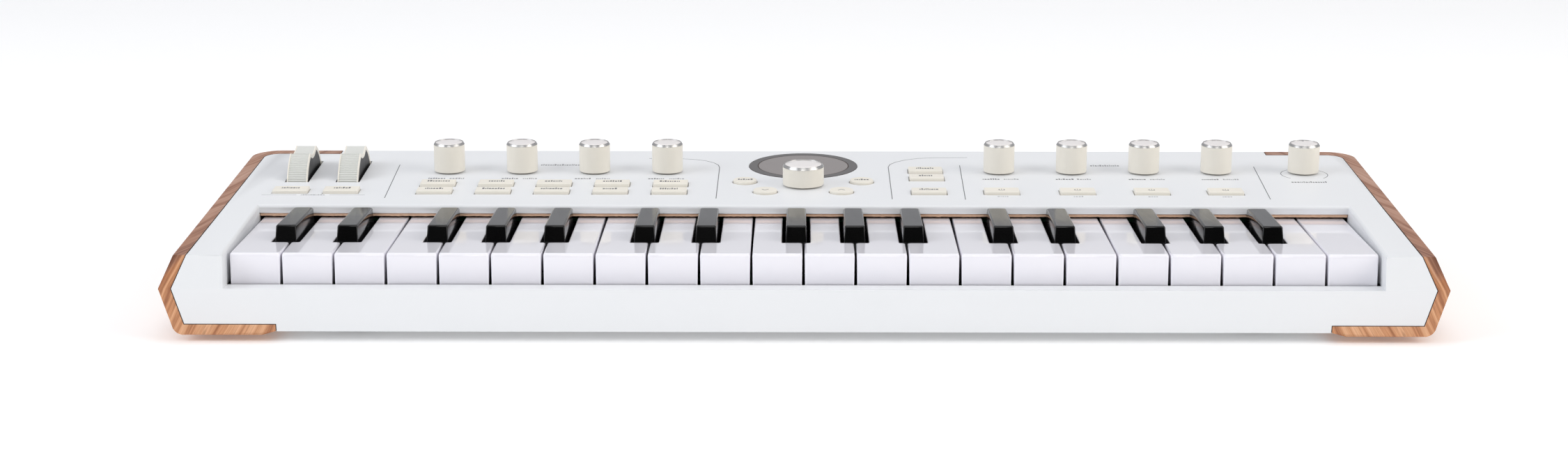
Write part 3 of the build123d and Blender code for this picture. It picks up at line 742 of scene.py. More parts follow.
@dataclass
class Shell:
    """A copied shell piece whose outer edges are rounded."""

    node: str
    slot: str
    finish: Finish
    edge: float = 0.3          # rounding of the outer edges, mm
    hole_edge: float = 0.1     # rounding of the holes for buttons and shafts, mm
    lip_edge: float = 1.3      # rounding of the key opening's upper edge, mm

    def build(self) -> bpy.types.Object:
        """Builds the piece and puts it in the node's place.

        Returns:
            The piece.
        """
        mesh = copied_mesh(self.node)
        self.soften(mesh)
        piece = make_piece(self.node + "_shell", mesh, self.finish, "case",
                           crease=50.0)
        self.dress(piece)
        weighted = piece.modifiers.new("even_normals", "WEIGHTED_NORMAL")
        weighted.keep_sharp = True
        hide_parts(self.node)
        return piece

    def at_opening(self, edge: bmesh.types.BMEdge) -> bool:
        """Whether an edge is an upper edge of the key opening.

        Args:
            edge: the edge.

        Returns:
            True for the edges of its sides and its rear.
        """
        for vertex in edge.verts:
            x, y, z = vertex.co / MM
            back = y - FRONT_RIDGE_Y
            plane = PANEL_FRONT_Z + math.tan(SLOPE) * (back - PANEL_FRONT_BACK)
            inside = abs(x) < OPENING_HALF + 0.1 and back < OPENING_REAR_BACK + 0.1
            if abs(z - plane) > 0.1 or not inside:
                return False
        return True

    def soften(self, mesh: bmesh.types.BMesh) -> None:
        """Rounds the key opening, then the outer edges, then the small holes.

        Args:
            mesh: the shell's mesh.
        """
        crisp = crisp_edges(mesh, 25)
        lip = [edge for edge in crisp if self.at_opening(edge)]
        if lip:
            round_edges(mesh, lip, self.lip_edge, 5)
        crisp = crisp_edges(mesh, 25)
        outer = [edge for edge in crisp if edge.calc_length() > 15 * MM
                 and min(vertex.co.z for vertex in edge.verts) > (RIDGE_Z + 1) * MM]
        rest = {edge for edge in crisp if not at_ridge(edge)} - set(outer)
        round_edges(mesh, outer, self.edge)
        rest = [edge for edge in rest if edge.is_valid]
        round_edges(mesh, rest, self.hole_edge, 1)

    def dress(self, piece: bpy.types.Object) -> None:
        """Adds further materials; a plain shell has none.

        Args:
            piece: the shell's piece.
        """


@dataclass
class WoodenEnds(Shell):
    """The two wooden end caps, with a painted shadow line where they meet the white case."""

    shadow_line: float = 0.35         # width of the painted shadow line, mm

    def soften(self, mesh: bmesh.types.BMesh) -> None:
        """Bevels a narrow strip along the white case and paints it as shadow, then rounds the other
        edges.

        Args:
            mesh: the wood's mesh.
        """
        touching = []
        for name in ("top_case", "bottom_case"):
            data = frame["nodes"][name].data
            touching.append(BVHTree.FromPolygons([vertex.co for vertex in data.vertices],
                                                 [face.vertices for face in data.polygons]))
        near, far = [], []
        for edge in crisp_edges(mesh, 12):
            middle = (edge.verts[0].co + edge.verts[1].co) / 2
            gaps = [tree.find_nearest(middle)[3] for tree in touching]
            if min(gaps) < 0.02 * MM:
                near.append(edge)
            elif edge.calc_length() > 3 * MM and edge.calc_face_angle(0.0) > math.radians(18):
                far.append(edge)
        # the narrow bevel along the white case takes the painted shadow of the gap, material 1
        for face in round_edges(mesh, near, self.shadow_line, 1):
            face.material_index = 1
        far = [edge for edge in far if edge.is_valid]
        round_edges(mesh, far, self.edge)

    def dress(self, piece: bpy.types.Object) -> None:
        """Adds the painted gap shadow's material.

        Args:
            piece: the wood's piece.
        """
        piece.data.materials.append(PAINTED_GAP_SHADOW.material())


# ---------------------------------------------------------------- keys
@dataclass
class WhiteKey:
    """A white key: drafted sides, rounded edges, notches for the black keys, hooked tail."""

    node: str
    notches: list[tuple[float, int]]   # (x of the notch's wall, side it is on), mm
    notch_back: float                  # y of the notches' front, mm

    top_round: float = 0.55
    front_round: float = 1.5
    corner: float = 1.1
    foot_inset: float = 0.16           # draft: how far the sides come in at the bottom
    wall: float = 1.8
    top_thick: float = 2.4
    hidden_end_back: float = 9.0       # key end behind the panel's front edge
    tail_inset: float = 1.5            # tail narrower than the key on each side
    tail_lap: float = 2.0              # tail inside the key's rear wall

    def corners(self, sides: float, front: float) -> list[tuple[float, float]]:
        """Plan of the key, brought in from its sides and its front.

        Args:
            sides: how far the side walls and notches come in, mm.
            front: how far the front wall comes in, mm.

        Returns:
            The plan's corners, anticlockwise from the front left, mm.
        """
        low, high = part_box(self.node)
        left, right = low.x / MM + sides, high.x / MM - sides
        start = low.y / MM + front
        end = FRONT_RIDGE_Y + OPENING_REAR_BACK + self.hidden_end_back - sides
        notch_y = self.notch_back - sides
        points = [(left, start), (right, start)]
        rear_left, rear_right = left, right
        for wall_x, side in self.notches:
            if side > 0:
                rear_right = wall_x - sides
                points += [(right, notch_y), (rear_right, notch_y)]
            else:
                rear_left = wall_x + sides
        points += [(rear_right, end), (rear_left, end)]
        if rear_left > left:
            points += [(rear_left, notch_y), (left, notch_y)]
        return points

    def loop(self, sides: float, front: float, z: float, corner: float) -> list:
        """One level of the key.

        Args:
            sides: inset of the side walls, mm.
            front: inset of the front wall, mm.
            z: height, mm.
            corner: radius of the plan's corners, mm.

        Returns:
            The level's points.
        """
        plan = self.corners(sides, front)
        return [(x, y, z) for x, y in rounded_loop(plan, [corner] * len(plan), 4)]

    def build(self) -> bpy.types.Object:
        """Builds the key and puts it in the node's place.

        Returns:
            The key.
        """
        low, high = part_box(self.node)
        top, bottom = high.z / MM, low.z / MM
        draft = self.foot_inset
        levels = [
            self.loop(self.wall + draft, self.wall, top - self.top_thick, 0.3),
            self.loop(self.wall + draft, self.wall, bottom, 0.3),
            self.loop(draft + 0.2, 0.25, bottom, 0.5),
            self.loop(draft, 0.0, bottom + 0.3, 0.6),
        ]
        sides = edge_arc(self.top_round, 5)
        fronts = edge_arc(self.front_round, 5)
        for (inset, drop), (front, front_drop) in zip(sides, fronts):
            level = self.loop(inset, front, 0.0, self.corner)
            levels.append([(x, y, top - self.drop_at(y, drop, front_drop)) for x, y, _ in level])
        # a flat margin inside the rounding keeps the key's top plane true
        levels.append(self.loop(self.top_round + 0.35, self.front_round + 0.35, top, self.corner))
        mesh = skin(levels)
        merge(mesh, self.tail())
        piece = make_piece(self.node + "_top", mesh, WHITE_KEY, self.node,
                           crease=40.0)
        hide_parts(self.node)
        return piece

    def drop_at(self, y: float, side_drop: float, front_drop: float) -> float:
        """Drop of a rounded edge's level: the front's near the front, the sides' elsewhere.

        Args:
            y: the point's place, mm.
            side_drop: drop of this level along the sides, mm.
            front_drop: drop of this level along the front, mm.

        Returns:
            The drop, mm.
        """
        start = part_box(self.node)[0].y / MM
        share = min(max((y - start - self.front_round) / self.front_round, 0.0), 1.0)
        return front_drop + (side_drop - front_drop) * share

    def tail(self) -> bmesh.types.BMesh:
        """Arm back to the pivot rod, with a slot that snaps over it.

        Returns:
            The arm's mesh.
        """
        plan = self.corners(self.tail_inset, 0.0)
        behind = [x for x, y in plan if y > self.notch_back + 5]
        start = FRONT_RIDGE_Y + OPENING_REAR_BACK + self.hidden_end_back - self.tail_lap
        return hooked_arm(self.node, min(behind), max(behind), start)


def hooked_arm(node: str, left: float, right: float, start: float) -> bmesh.types.BMesh:
    """Arm of a key with a slot from below for the pivot rod.

    Args:
        node: the key.
        left: the arm's left side, mm.
        right: its right side, mm.
        start: its front, mm.

    Returns:
        The arm's mesh.
    """
    low, high = TAIL_Z
    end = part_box(node)[1].y / MM
    pivot_y, pivot_z = (part / MM for part in JOINTS[node + "_press"][1:])
    turns = [math.pi * step / 12 for step in range(13)]
    slot = [(pivot_y - ROD_SLOT * math.cos(turn), pivot_z + ROD_SLOT * math.sin(turn))
            for turn in turns]
    section = [(start, low), (pivot_y - ROD_SLOT, low), *slot, (pivot_y + ROD_SLOT, low),
               (end, low), (end, high), (start, high)]
    return skin([[(x, y, z) for y, z in section] for x in (left, right)])


@dataclass
class BlackKey:
    """A black key: upright foot, tapered top with rounded edges, hooked tail."""

    node: str
    foot_z: float = 37.4       # where the taper starts: the white keys' top
    top_inset: float = 0.2     # each side's taper
    front_slant: float = 1.6
    rear_slant: float = 0.8
    fall: float = 0.8          # lower at the rear than at the front
    edge: float = 0.8
    wall: float = 1.8
    rear_gap: float = 4.2      # key end in front of the panel
    tail_inset: float = 0.9    # tail narrower than the key on each side
    tail_back: float = 40.0    # tail's front behind the hollow's front

    def loop(self, sides: float, front: float, rear: float, z: float, fall: float,
             corner: float) -> list:
        """One level of the key.

        Args:
            sides: inset of the side walls, mm.
            front: inset of the front, mm.
            rear: inset of the rear, mm.
            z: height at the front, mm.
            fall: how much lower the rear is, mm.
            corner: radius of the corners, mm.

        Returns:
            The level's points.
        """
        low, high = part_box(self.node)
        left, right = low.x / MM + sides, high.x / MM - sides
        start = low.y / MM + front
        end = FRONT_RIDGE_Y + OPENING_REAR_BACK - self.rear_gap - rear
        plan = [(left, start), (right, start), (right, end), (left, end)]
        points = rounded_loop(plan, [corner] * 4, 4)
        return [(x, y, z - fall * (y - start) / (end - start)) for x, y in points]

    def build(self) -> bpy.types.Object:
        """Builds the key and puts it in the node's place.

        Returns:
            The key.
        """
        low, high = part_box(self.node)
        bottom, top = low.z / MM, high.z / MM
        wall = self.wall
        levels = [
            self.loop(wall, wall, wall, self.foot_z, 0.0, 0.3),
            self.loop(wall, wall, wall, bottom, 0.0, 0.3),
            self.loop(0.15, 0.15, 0.15, bottom, 0.0, 0.3),
            self.loop(0.0, 0.0, 0.0, bottom + 0.2, 0.0, 0.3),
            self.loop(0.0, 0.0, 0.0, self.foot_z, 0.0, 0.4),
        ]
        for inset, drop in edge_arc(self.edge, 6):
            levels.append(self.loop(self.top_inset + inset, self.front_slant + inset,
                                    self.rear_slant + inset, top - drop, self.fall,
                                    0.6 + 0.5 * (1 - drop / self.edge)))
        margin = self.edge + 0.25
        levels.append(self.loop(self.top_inset + margin, self.front_slant + margin,
                                self.rear_slant + margin, top, self.fall, 1.1))
        mesh = skin(levels)
        start = levels[0][0][1] + self.tail_back
        merge(mesh, hooked_arm(self.node, low.x / MM + self.tail_inset,
                               high.x / MM - self.tail_inset, start))
        piece = make_piece(self.node + "_top", mesh, BLACK_KEY, self.node,
                           crease=40.0)
        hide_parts(self.node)
        return piece


@dataclass
class KeySet:
    """All the keys."""

    side_gap: float = 1.5      # round a black key's foot
    setback: float = 24.0      # notches behind the white keys' front

    def build(self) -> None:
        """Builds every key from the frame's boxes."""
        names = [name for name in frame["nodes"] if name.startswith("key_") and name != "key_chassis"]
        blacks = sorted(name for name in names if "sharp" in name)
        whites = sorted(name for name in names if "sharp" not in name)
        walls = []
        for name in blacks:
            low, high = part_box(name)
            walls.append((low.x / MM - self.side_gap, high.x / MM + self.side_gap))
            BlackKey(name).build()
        for name in whites:
            low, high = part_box(name)
            left, right = low.x / MM, high.x / MM
            notches = []
            for start, end in walls:
                if left < start < right:
                    notches.append((start, 1))
                if left < end < right:
                    notches.append((end, -1))
            notches.sort(key=lambda notch: -notch[1])
            WhiteKey(name, notches, low.y / MM + self.setback).build()


# ---------------------------------------------------------------- thumb wheels
PLAIN = 90.0               # a loop's drop above this stands for a plain radius of the rest, mm


@dataclass
class ThumbWheel:
    """A thumb wheel: ribbed tread between two smooth rims, finger dent, black hub."""

    node: str
    joint: str
    radius: float = 23.7
    width: float = 9.6
    dent_radius: float = 18.0
    dent_depth: float = 3.4
    rim: float = 0.6           # width of each smooth rim
    rib_pitch: float = 1.2     # 1.0 in the real one, drawn wider so that the ribs show
    rib_height: float = 0.4
    tread_depth: float = 2.6
    axle: float = 2.5
    axle_reach: float = 8.2
    boss: float = 6.0          # radius of the raised ring round the axle
    web: float = 14.5          # outer radius of the hub's hollow
    per_rib: int = 6           # points along each rib

    def rim_radius(self, turn: float) -> float:
        """Distance from the axis to the rim.

        Args:
            turn: angle from the dent's middle, radians.

        Returns:
            The distance, mm.
        """
        reach = self.radius - self.dent_depth + self.dent_radius
        across = reach * math.sin(turn)
        if math.cos(turn) <= 0 or abs(across) >= self.dent_radius:
            return self.radius
        dented = reach * math.cos(turn) - math.sqrt(self.dent_radius ** 2 - across ** 2)
        return min(self.radius, dented)

    def tread_radius(self, turn: float) -> float:
        """Distance from the axis to the ribbed tread, which is smooth in the dent.

        Args:
            turn: angle from the dent's middle, radians.

        Returns:
            The distance, mm.
        """
        base = self.rim_radius(turn) - 0.12
        if base < self.radius - 0.2:
            return base
        count = round(2 * math.pi * self.radius / self.rib_pitch)
        return base - self.rib_height * (0.5 + 0.5 * math.cos(turn * count))

    def band(self, levels: list[tuple[float, float, bool]]) -> list:
        """Loops of a band round the wheel.

        Args:
            levels: (place along the axis, drop below the surface or PLAIN and a radius, ribbed)
                of each loop, mm.

        Returns:
            The loops, in the wheel's own millimetres, dent towards local Z.
        """
        count = round(2 * math.pi * self.radius / self.rib_pitch) * self.per_rib
        loops = []
        for along, drop, ribbed in levels:
            loop = []
            for index in range(count):
                turn = 2 * math.pi * index / count
                reach = self.tread_radius(turn) if ribbed else self.rim_radius(turn)
                reach = reach - drop if drop < PLAIN else drop - PLAIN
                loop.append((along, reach * math.sin(turn), reach * math.cos(turn)))
            loops.append(loop)
        return loops

    def build(self) -> None:
        """Builds the tread, the two rims and the hub."""
        place = Matrix.Translation(Vector(JOINTS[self.joint])) @ Matrix.Rotation(SLOPE, 4, "X")
        half = self.width / 2
        inner = half - self.rim
        tread = skin(self.band([(-inner, self.tread_depth, False), (-inner, 0.0, True),
                                (inner, 0.0, True), (inner, self.tread_depth, False)]), ring=True)
        piece = make_piece(self.node + "_tread", tread, WHEEL_TREAD, self.node,
                           place, crease=60.0)
        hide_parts(self.node)
        for side, name in ((-1, "left"), (1, "right")):
            edge, root = side * half, side * inner
            rim = skin(self.band([
                (root, self.tread_depth, False), (root, 0.12, False), (root + side * 0.12, 0.0, False),
                (edge - side * 0.25, 0.0, False), (edge - side * 0.07, 0.08, False),
                (edge, 0.3, False), (edge, self.tread_depth - 0.8, False)]), ring=True)
            make_piece(f"{self.node}_rim_{name}", rim, IVORY, self.node, place)
        axle, boss, web = PLAIN + self.axle, PLAIN + self.boss, PLAIN + self.web
        face, hollow = half - 0.12, half - 0.5
        one_side = [
            (self.axle_reach, axle - 0.3), (self.axle_reach - 0.3, axle), (half + 0.05, axle),
            (half + 0.05, boss), (hollow, boss + 0.6), (hollow, web),
            (face, self.tread_depth + 1.4), (face, 1.9)]
        levels = [(-along, drop, False) for along, drop in one_side]
        levels += [(along, drop, False) for along, drop in reversed(one_side)]
        hub = skin(self.band(levels))
        make_piece(self.node + "_hub", hub, BLACK_MOULDED, self.node, place)


# ---------------------------------------------------------------- knobs
@dataclass
class Knob:
    """A turned knob: satin side, bright bevelled edge, cap let into the top, shaft below."""

    node: str
    joint: str
    radius: float = 7.25
    height: float = 13.7
    edge: float = 0.7          # bevelled edge, seen from above
    bevel: float = 1.1         # bevelled edge, seen from the side
    shaft: float = 3.0
    reach: float = 8.0         # shaft end below the panel
    pointer: bool = False      # printed dot that shows where it is set

    def build(self) -> None:
        """Builds the side, the bright edge, the cap and the dot."""
        place = Matrix.Translation(Vector(JOINTS[self.joint])) @ Matrix.Rotation(SLOPE, 4, "X")
        top = KNOB_LIFT + self.height
        seat = top - self.bevel
        side = turned([
            (self.shaft - 0.3, -self.reach), (self.shaft, -self.reach + 0.3), (self.shaft, KNOB_LIFT),
            (self.radius - 0.35, KNOB_LIFT), (self.radius - 0.08, KNOB_LIFT + 0.1),
            (self.radius, KNOB_LIFT + 0.4), (self.radius, seat - 0.12),
            (self.radius - 0.12, seat), (self.radius - 2.0, seat)])
        piece = make_piece(self.node + "_side", side, IVORY, self.node, place)
        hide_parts(self.node)
        lip = self.radius - self.edge
        bright = turned([
            (lip - 0.2, seat), (self.radius - 0.05, seat), (self.radius, seat + 0.07),
            (self.radius - 0.06, seat + 0.18), (lip + 0.06, top - 0.06), (lip - 0.05, top),
            (lip - 0.15, top - 0.04), (lip - 0.2, top - 0.2)], ring=True)
        make_piece(self.node + "_bright_edge", bright, BRIGHT_EDGE, self.node,
                   place, crease=25.0)
        disc = lip - 0.22
        cap = turned([
            (disc, seat), (disc, top - 0.28), (disc - 0.15, top - 0.16),
            (disc * 0.6, top - 0.09), (disc * 0.2, top - 0.07)])
        make_piece(self.node + "_cap", cap, KNOB_CAP, self.node, place,
                   crease=60.0)
        if self.pointer:
            dot = turned([(0.55, top - 0.15), (0.55, top - 0.05), (0.45, top - 0.04)], 24)
            spot = place @ Matrix.Translation((0, disc * 0.72 * MM, 0))
            make_piece(self.node + "_dot", dot, INK, self.node, spot)


# ---------------------------------------------------------------- printed marks
class Mark(Enum):
    """What a button shows."""

    NAME = "name"              # a row of short bars where the real one has a word
    POWER = "power"
    UP = "up"
    DOWN = "down"


@dataclass
class Print:
    """Screen print: very thin ink on the panel or on the buttons, gathered into one mesh."""

    lift: float = 0.0          # the printed surface above the panel, mm
    thick: float = 0.03
    sunk: float = 0.05
    seed: int = 7

    def __post_init__(self) -> None:
        """Starts the mesh and the seeded draw of bar lengths."""
        self.mesh = bmesh.new()
        self.draw = random.Random(self.seed)

    def line(self, points: list[tuple[float, float]], width: float) -> None:
        """Prints a line.

        Args:
            points: (x, back) along its middle, mm.
            width: its width, mm.
        """
        loops = []
        spots = [Vector(point) for point in points]
        for index, spot in enumerate(spots):
            before = spots[max(index - 1, 0)]
            after = spots[min(index + 1, len(spots) - 1)]
            way = (after - before).normalized()
            side = Vector((-way.y, way.x)) * (width / 2)
            loop = []
            for offset, height in ((side, -self.sunk), (side, self.thick),
                                   (-side, self.thick), (-side, -self.sunk)):
                place = on_panel(spot.x + offset.x, spot.y + offset.y, self.lift + height)
                loop.append(tuple(place.translation / MM))
            loops.append(loop)
        merge(self.mesh, skin(loops))

    def arc(self, x: float, back: float, radius: float, start: float, end: float,
            width: float) -> None:
        """Prints part of a circle.

        Args:
            x: its centre, mm.
            back: its centre behind the front ridge, mm.
            radius: its radius, mm.
            start: where it starts, degrees from +X.
            end: where it ends, degrees from +X.
            width: the line's width, mm.
        """
        steps = 40
        turns = [math.radians(start + (end - start) * step / steps) for step in range(steps + 1)]
        self.line([(x + radius * math.cos(turn), back + radius * math.sin(turn))
                   for turn in turns], width)

    def bars(self, x: float, back: float, length: float, height: float) -> None:
        """Prints a row of short upright bars, as long and as tall as a word.

        Args:
            x: its middle, mm.
            back: its middle behind the front ridge, mm.
            length: its length, mm.
            height: its height, mm.
        """
        place = x - length / 2
        while place < x + length / 2 - 0.4:
            wide = self.draw.choice((0.45, 0.7, 0.95))
            tall = height * self.draw.choice((0.7, 0.7, 1.0))
            low = back - height / 2
            self.line([(place + wide / 2, low), (place + wide / 2, low + tall)], wide)
            place += wide + 0.4

    def power(self, x: float, back: float, radius: float) -> None:
        """Prints the common power sign: an open ring and a bar.

        Args:
            x: its centre, mm.
            back: its centre behind the front ridge, mm.
            radius: the ring's radius, mm.
        """
        self.arc(x, back, radius, 125, 415, 0.3)
        self.line([(x, back + 0.2), (x, back + radius * 1.25)], 0.3)

    def arrow(self, x: float, back: float, way: int) -> None:
        """Prints a small arrow.

        Args:
            x: its centre, mm.
            back: its centre behind the front ridge, mm.
            way: 1 to point to the rear, -1 to the front.
        """
        self.line([(x - 1.5, back - 0.7 * way), (x, back + 0.9 * way)], 0.4)
        self.line([(x + 1.5, back - 0.7 * way), (x, back + 0.9 * way)], 0.4)

    def finish(self, name: str, ink: Finish, body: str, slot: str) -> bpy.types.Object:
        """Turns what was printed into a piece.

        Args:
            name: the piece's name.
            ink: its finish.
            body: the body that carries it.
            slot: the record's slot it stands for; not used.

        Returns:
            The piece.
        """
        return make_piece(name, self.mesh, ink, body)


@dataclass
class PanelPrint:
    """Dividers, headings and the volume knob's ring on the top plane."""

    fine: float = 0.35         # dividing lines
    label_back: float = 138.6
    heading_back: float = 166.0
    dial_radius: float = 10.9  # ring round the volume knob

    def build(self) -> None:
        """Builds the dark print and the pale print."""
        dark = Print(seed=3)
        dark.line([(-192.2, 165.7), (-190.5, 100.9)], self.fine)
        dark.line([(-39.7, 100.7), (-39.7, 161.0), (-40.4, 166.0), (-42.6, 170.6), (-46.4, 174.6),
                   (-51.6, 177.4), (-58.0, 178.9), (-74.0, 179.4)], self.fine)
        dark.line([(40.4, 100.0), (40.4, 162.5), (41.4, 167.8), (44.2, 172.5), (49.2, 177.3),
                   (55.6, 180.5), (63.7, 181.9), (79.0, 182.3)], self.fine)
        dark.line([(73.6, 99.5), (74.5, 166.2)], self.fine)
        dark.line([(214.1, 164.3), (212.1, 100.6)], self.fine)
        dark.arc(VOLUME_KNOB, KNOB_BACK - 3.4, self.dial_radius, -45, 225, 0.3)
        pale = Print(seed=5)
        for knob_x in INSTRUMENT_KNOBS + EFFECT_KNOBS:
            dark.bars(knob_x - 4.4, self.label_back, 8.0, 2.1)
            pale.bars(knob_x + 5.0, self.label_back, 7.0, 2.1)
        dark.bars(VOLUME_KNOB, 133.8, 17.0, 2.2)
        pale.bars(sum(INSTRUMENT_KNOBS) / 4, self.heading_back, 19.0, 2.9)
        pale.bars(sum(EFFECT_KNOBS) / 4, self.heading_back, 13.5, 2.9)
        for x, back in EFFECT_BUTTONS:
            pale.bars(x, back - 7.2, 4.6, 1.3)
        pale.line([(-247.5, 106.4), (-231.5, 106.4)], 0.25)
        pale.line([(-216.5, 106.4), (-200.3, 106.4)], 0.25)
        pale.bars(-224.0, 106.4, 11.0, 1.3)
        dark.finish("panel_print_dark", INK, "case", "black_plastic")
        pale.finish("panel_print_pale", PALE_INK, "case", "black_plastic")


# ---------------------------------------------------------------- buttons
@dataclass
class PushButtons:
    """The panel's buttons: satin caps with soft edges, flange and stem below, printed marks."""

    width: float = 16.0
    depth: float = 8.6
    proud: float = 1.4
    corner: float = 0.6
    soft: float = 0.35         # rounding of the cap's top edge
    round_radius: float = 5.45
    round_proud: float = 1.2
    flange: float = 1.0
    under: float = 2.55        # flange below the panel surface

    def sections(self, width: float, depth: float, corner: float, proud: float) -> list:
        """Levels of one button from its stem to its top.

        Args:
            width: the cap's width, mm.
            depth: the cap's depth, mm.
            corner: the cap's corner radius, mm.
            proud: the cap's top above the panel, mm.

        Returns:
            (width, depth, corner radius, height) of each level, mm.
        """
        low = -self.under - self.flange
        wide, deep, loose = width + 2 * self.flange, depth + 2 * self.flange, corner + 0.3
        if corner > 2:
            loose = corner + self.flange
        levels = [(3.0, 3.0, 1.45, low - 0.7), (3.0, 3.0, 1.45, low), (wide, deep, loose, low),
                  (wide, deep, loose, -self.under), (width, depth, corner, -self.under)]
        for inset, drop in edge_arc(self.soft, 4):
            levels.append((width - 2 * inset, depth - 2 * inset, max(corner - inset, 0.2),
                           proud - drop))
        levels.append((width - 3.0, depth - 3.0, max(corner - 1.5, 0.2), proud - 0.03))
        return levels

    def build(self) -> None:
        """Builds every button and its mark."""
        signs = {}
        for number, spot in enumerate(OCTAVE_BUTTONS, start=1):
            signs[f"octave_button_{number}"] = (spot, Mark.NAME)
        for row, back in enumerate(BUTTON_ROWS, start=1):
            for column, x in enumerate(BUTTON_COLUMNS, start=1):
                signs[f"sound_button_{row}_{column}"] = ((x, back), Mark.NAME)
        for number, spot in enumerate(PERFORM_BUTTONS, start=1):
            signs[f"play_button_{number}"] = (spot, Mark.NAME)
        for number, spot in enumerate(EFFECT_BUTTONS, start=1):
            signs[f"effect_button_{number}"] = (spot, Mark.POWER)
        names = Print(lift=self.proud - 0.03)
        first = None
        for name, (spot, sign) in signs.items():
            cap = stacked(self.sections(self.width, self.depth, self.corner, self.proud))
            piece = make_piece(name, cap, IVORY, "buttons", on_panel(*spot))
            first = first or piece
            if sign is Mark.POWER:
                names.power(spot[0], spot[1], 1.35)
            else:
                names.bars(spot[0], spot[1] + 1.2, names.draw.choice((7.0, 8.6, 10.0)), 2.5)
        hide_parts("panel_buttons")
        low = Print(lift=self.round_proud - 0.03, seed=11)
        signs = (Mark.NAME, Mark.NAME, Mark.DOWN, Mark.UP)
        for number, (spot, sign) in enumerate(zip(ROUND_BUTTONS, signs), start=1):
            size = 2 * self.round_radius
            cap = stacked(self.sections(size, size, self.round_radius - 0.01, self.round_proud), 14)
            make_piece(f"round_button_{number}", cap, IVORY, "buttons",
                       on_panel(*spot))
            if sign is Mark.NAME:
                low.bars(spot[0], spot[1] + 0.6, 6.4, 2.3)
            else:
                low.arrow(spot[0], spot[1], 1 if sign is Mark.UP else -1)
        names.finish("button_marks", INK, "buttons", "black_plastic")
        low.finish("round_button_marks", INK, "buttons", "black_plastic")


# ---------------------------------------------------------------- display and felt
@dataclass
class Display:
    """Round display: black-bordered glass ring round the grey panel's disc."""

    radius: float = 25.75
    screen: float = 21.25
    proud: float = 0.15
    depth: float = 3.5
    flange: float = 1.6

    def build(self) -> None:
        """Builds the border, the painted shadow ring at the screen's edge, and the screen."""
        place = on_panel(0, DISPLAY_BACK)
        wide = self.radius + self.flange
        border = turned([
            (self.screen + 0.4, -self.depth), (wide, -self.depth - 0.9), (wide, -2.6),
            (self.radius, -2.55), (self.radius, self.proud - 0.12),
            (self.radius - 0.12, self.proud), (self.screen + 0.46, self.proud),
            (self.screen + 0.4, self.proud - 0.06)], 128, ring=True)
        piece = make_piece("display_border", border, BORDER_GLASS, "case", place)
        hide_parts("display_window")
        # dark ring round the screen: painted shadow of the gap between the border and the screen
        line = turned([(self.screen, -1.0), (self.screen + 0.4, -1.0),
                       (self.screen + 0.4, self.proud - 0.06), (self.screen, self.proud - 0.06)],
                      128, ring=True)
        make_piece("display_edge_shadow", line, PAINTED_GAP_SHADOW, "case", place)
        disc = turned([(self.screen - 0.02, -self.depth), (self.screen - 0.02, self.proud - 0.07),
                       (self.screen - 0.07, self.proud - 0.02)], 128)
        make_piece("display_screen", disc, SCREEN_GLASS, "case", place)


@dataclass
class FeltStrip:
    """Felt under the panel's lip, a little uneven along its front."""

    step: float = 0.8          # distance between sections, mm
    rough: float = 0.22        # how far it wanders, mm

    def build(self) -> None:
        """Builds the strip from the frame's box."""
        low, high = (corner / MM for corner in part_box("felt_strip"))
        count = round((high.x - low.x - 0.4) / self.step)
        corners = [(low.y + 0.3, low.z + 0.1), (high.y, low.z + 0.1),
                   (high.y, high.z), (low.y + 0.3, high.z)]
        section = rounded_loop(corners, [0.4, 0.1, 0.1, 0.3], 3)
        loops = []
        for index in range(count + 1):
            x = low.x + 0.2 + (high.x - low.x - 0.4) * index / count
            loop = []
            for y, z in section:
                push = noise.noise((x * 0.6, y * 0.8, z * 1.2)) + 0.6 * noise.noise(
                    (x * 1.9, y, z * 2.0))
                loose = 1.0 if y < low.y + 2 else 0.0
                loop.append((x, y + push * self.rough * loose,
                             min(z + push * 0.1 * loose, high.z)))
            loops.append(loop)
        piece = make_piece("felt_under_lip", skin(loops), FELT, "case", crease=80.0)
        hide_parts("felt_strip")


# ---------------------------------------------------------------- rear sockets and inside pieces
@dataclass
class RearSockets:
    """Hexagon nuts round the jack sockets' bushes, in the recess of the rear wall."""

    places: tuple[float, ...] = (-78.0, -54.0, -30.0, -6.0)
    height: float = 31.6
    floor_back: float = 194.5
    flats: float = 11.4        # across the nut's flats
    bore: float = 4.7
    thick: float = 1.5
    bevel: float = 0.3         # height of the bevel round the nut's face
    face_share: float = 0.93   # the face's size, as a share of the nut's

    def build(self) -> None:
        """Builds a nut for each jack socket."""
        hexagon = [(self.flats / math.sqrt(3) * math.cos(math.radians(60 * corner)),
                    self.flats / math.sqrt(3) * math.sin(math.radians(60 * corner)))
                   for corner in range(6)]
        outer = rounded_loop(hexagon, [0.5] * 6, 7)
        face = [(px * self.face_share, py * self.face_share) for px, py in outer]
        bore = circle(self.bore, len(outer))
        levels = ((bore, 0.0), (outer, 0.0), (outer, self.thick - self.bevel), (face, self.thick),
                  (bore, self.thick))
        loops = [[(px, py, height) for px, py in plan] for plan, height in levels]
        for number, x in enumerate(self.places, start=1):
            nut = skin(loops, ring=True)
            place = Matrix.Translation(Vector((x, FRONT_RIDGE_Y + self.floor_back, self.height)) * MM)
            make_piece(f"socket_nut_{number}", nut, NICKEL, "case",
                       place @ Matrix.Rotation(math.radians(-90), 4, "X"))


INSIDE = {
    "key_chassis": BLACK_MOULDED,
    "circuit_boards": BOARD,
    "rear_sockets": NICKEL,
    "rubber_feet": RUBBER,
    "case_screws": ZINC_STEEL,
}


def dress_inside() -> None:
    """Gives the frame's own inner pieces their finishes."""
    for name, finish in INSIDE.items():
        data = frame["nodes"][name].data
        data.materials.clear()
        data.materials.append(finish.material())
        LOG.info("%s keeps its own mesh", name)


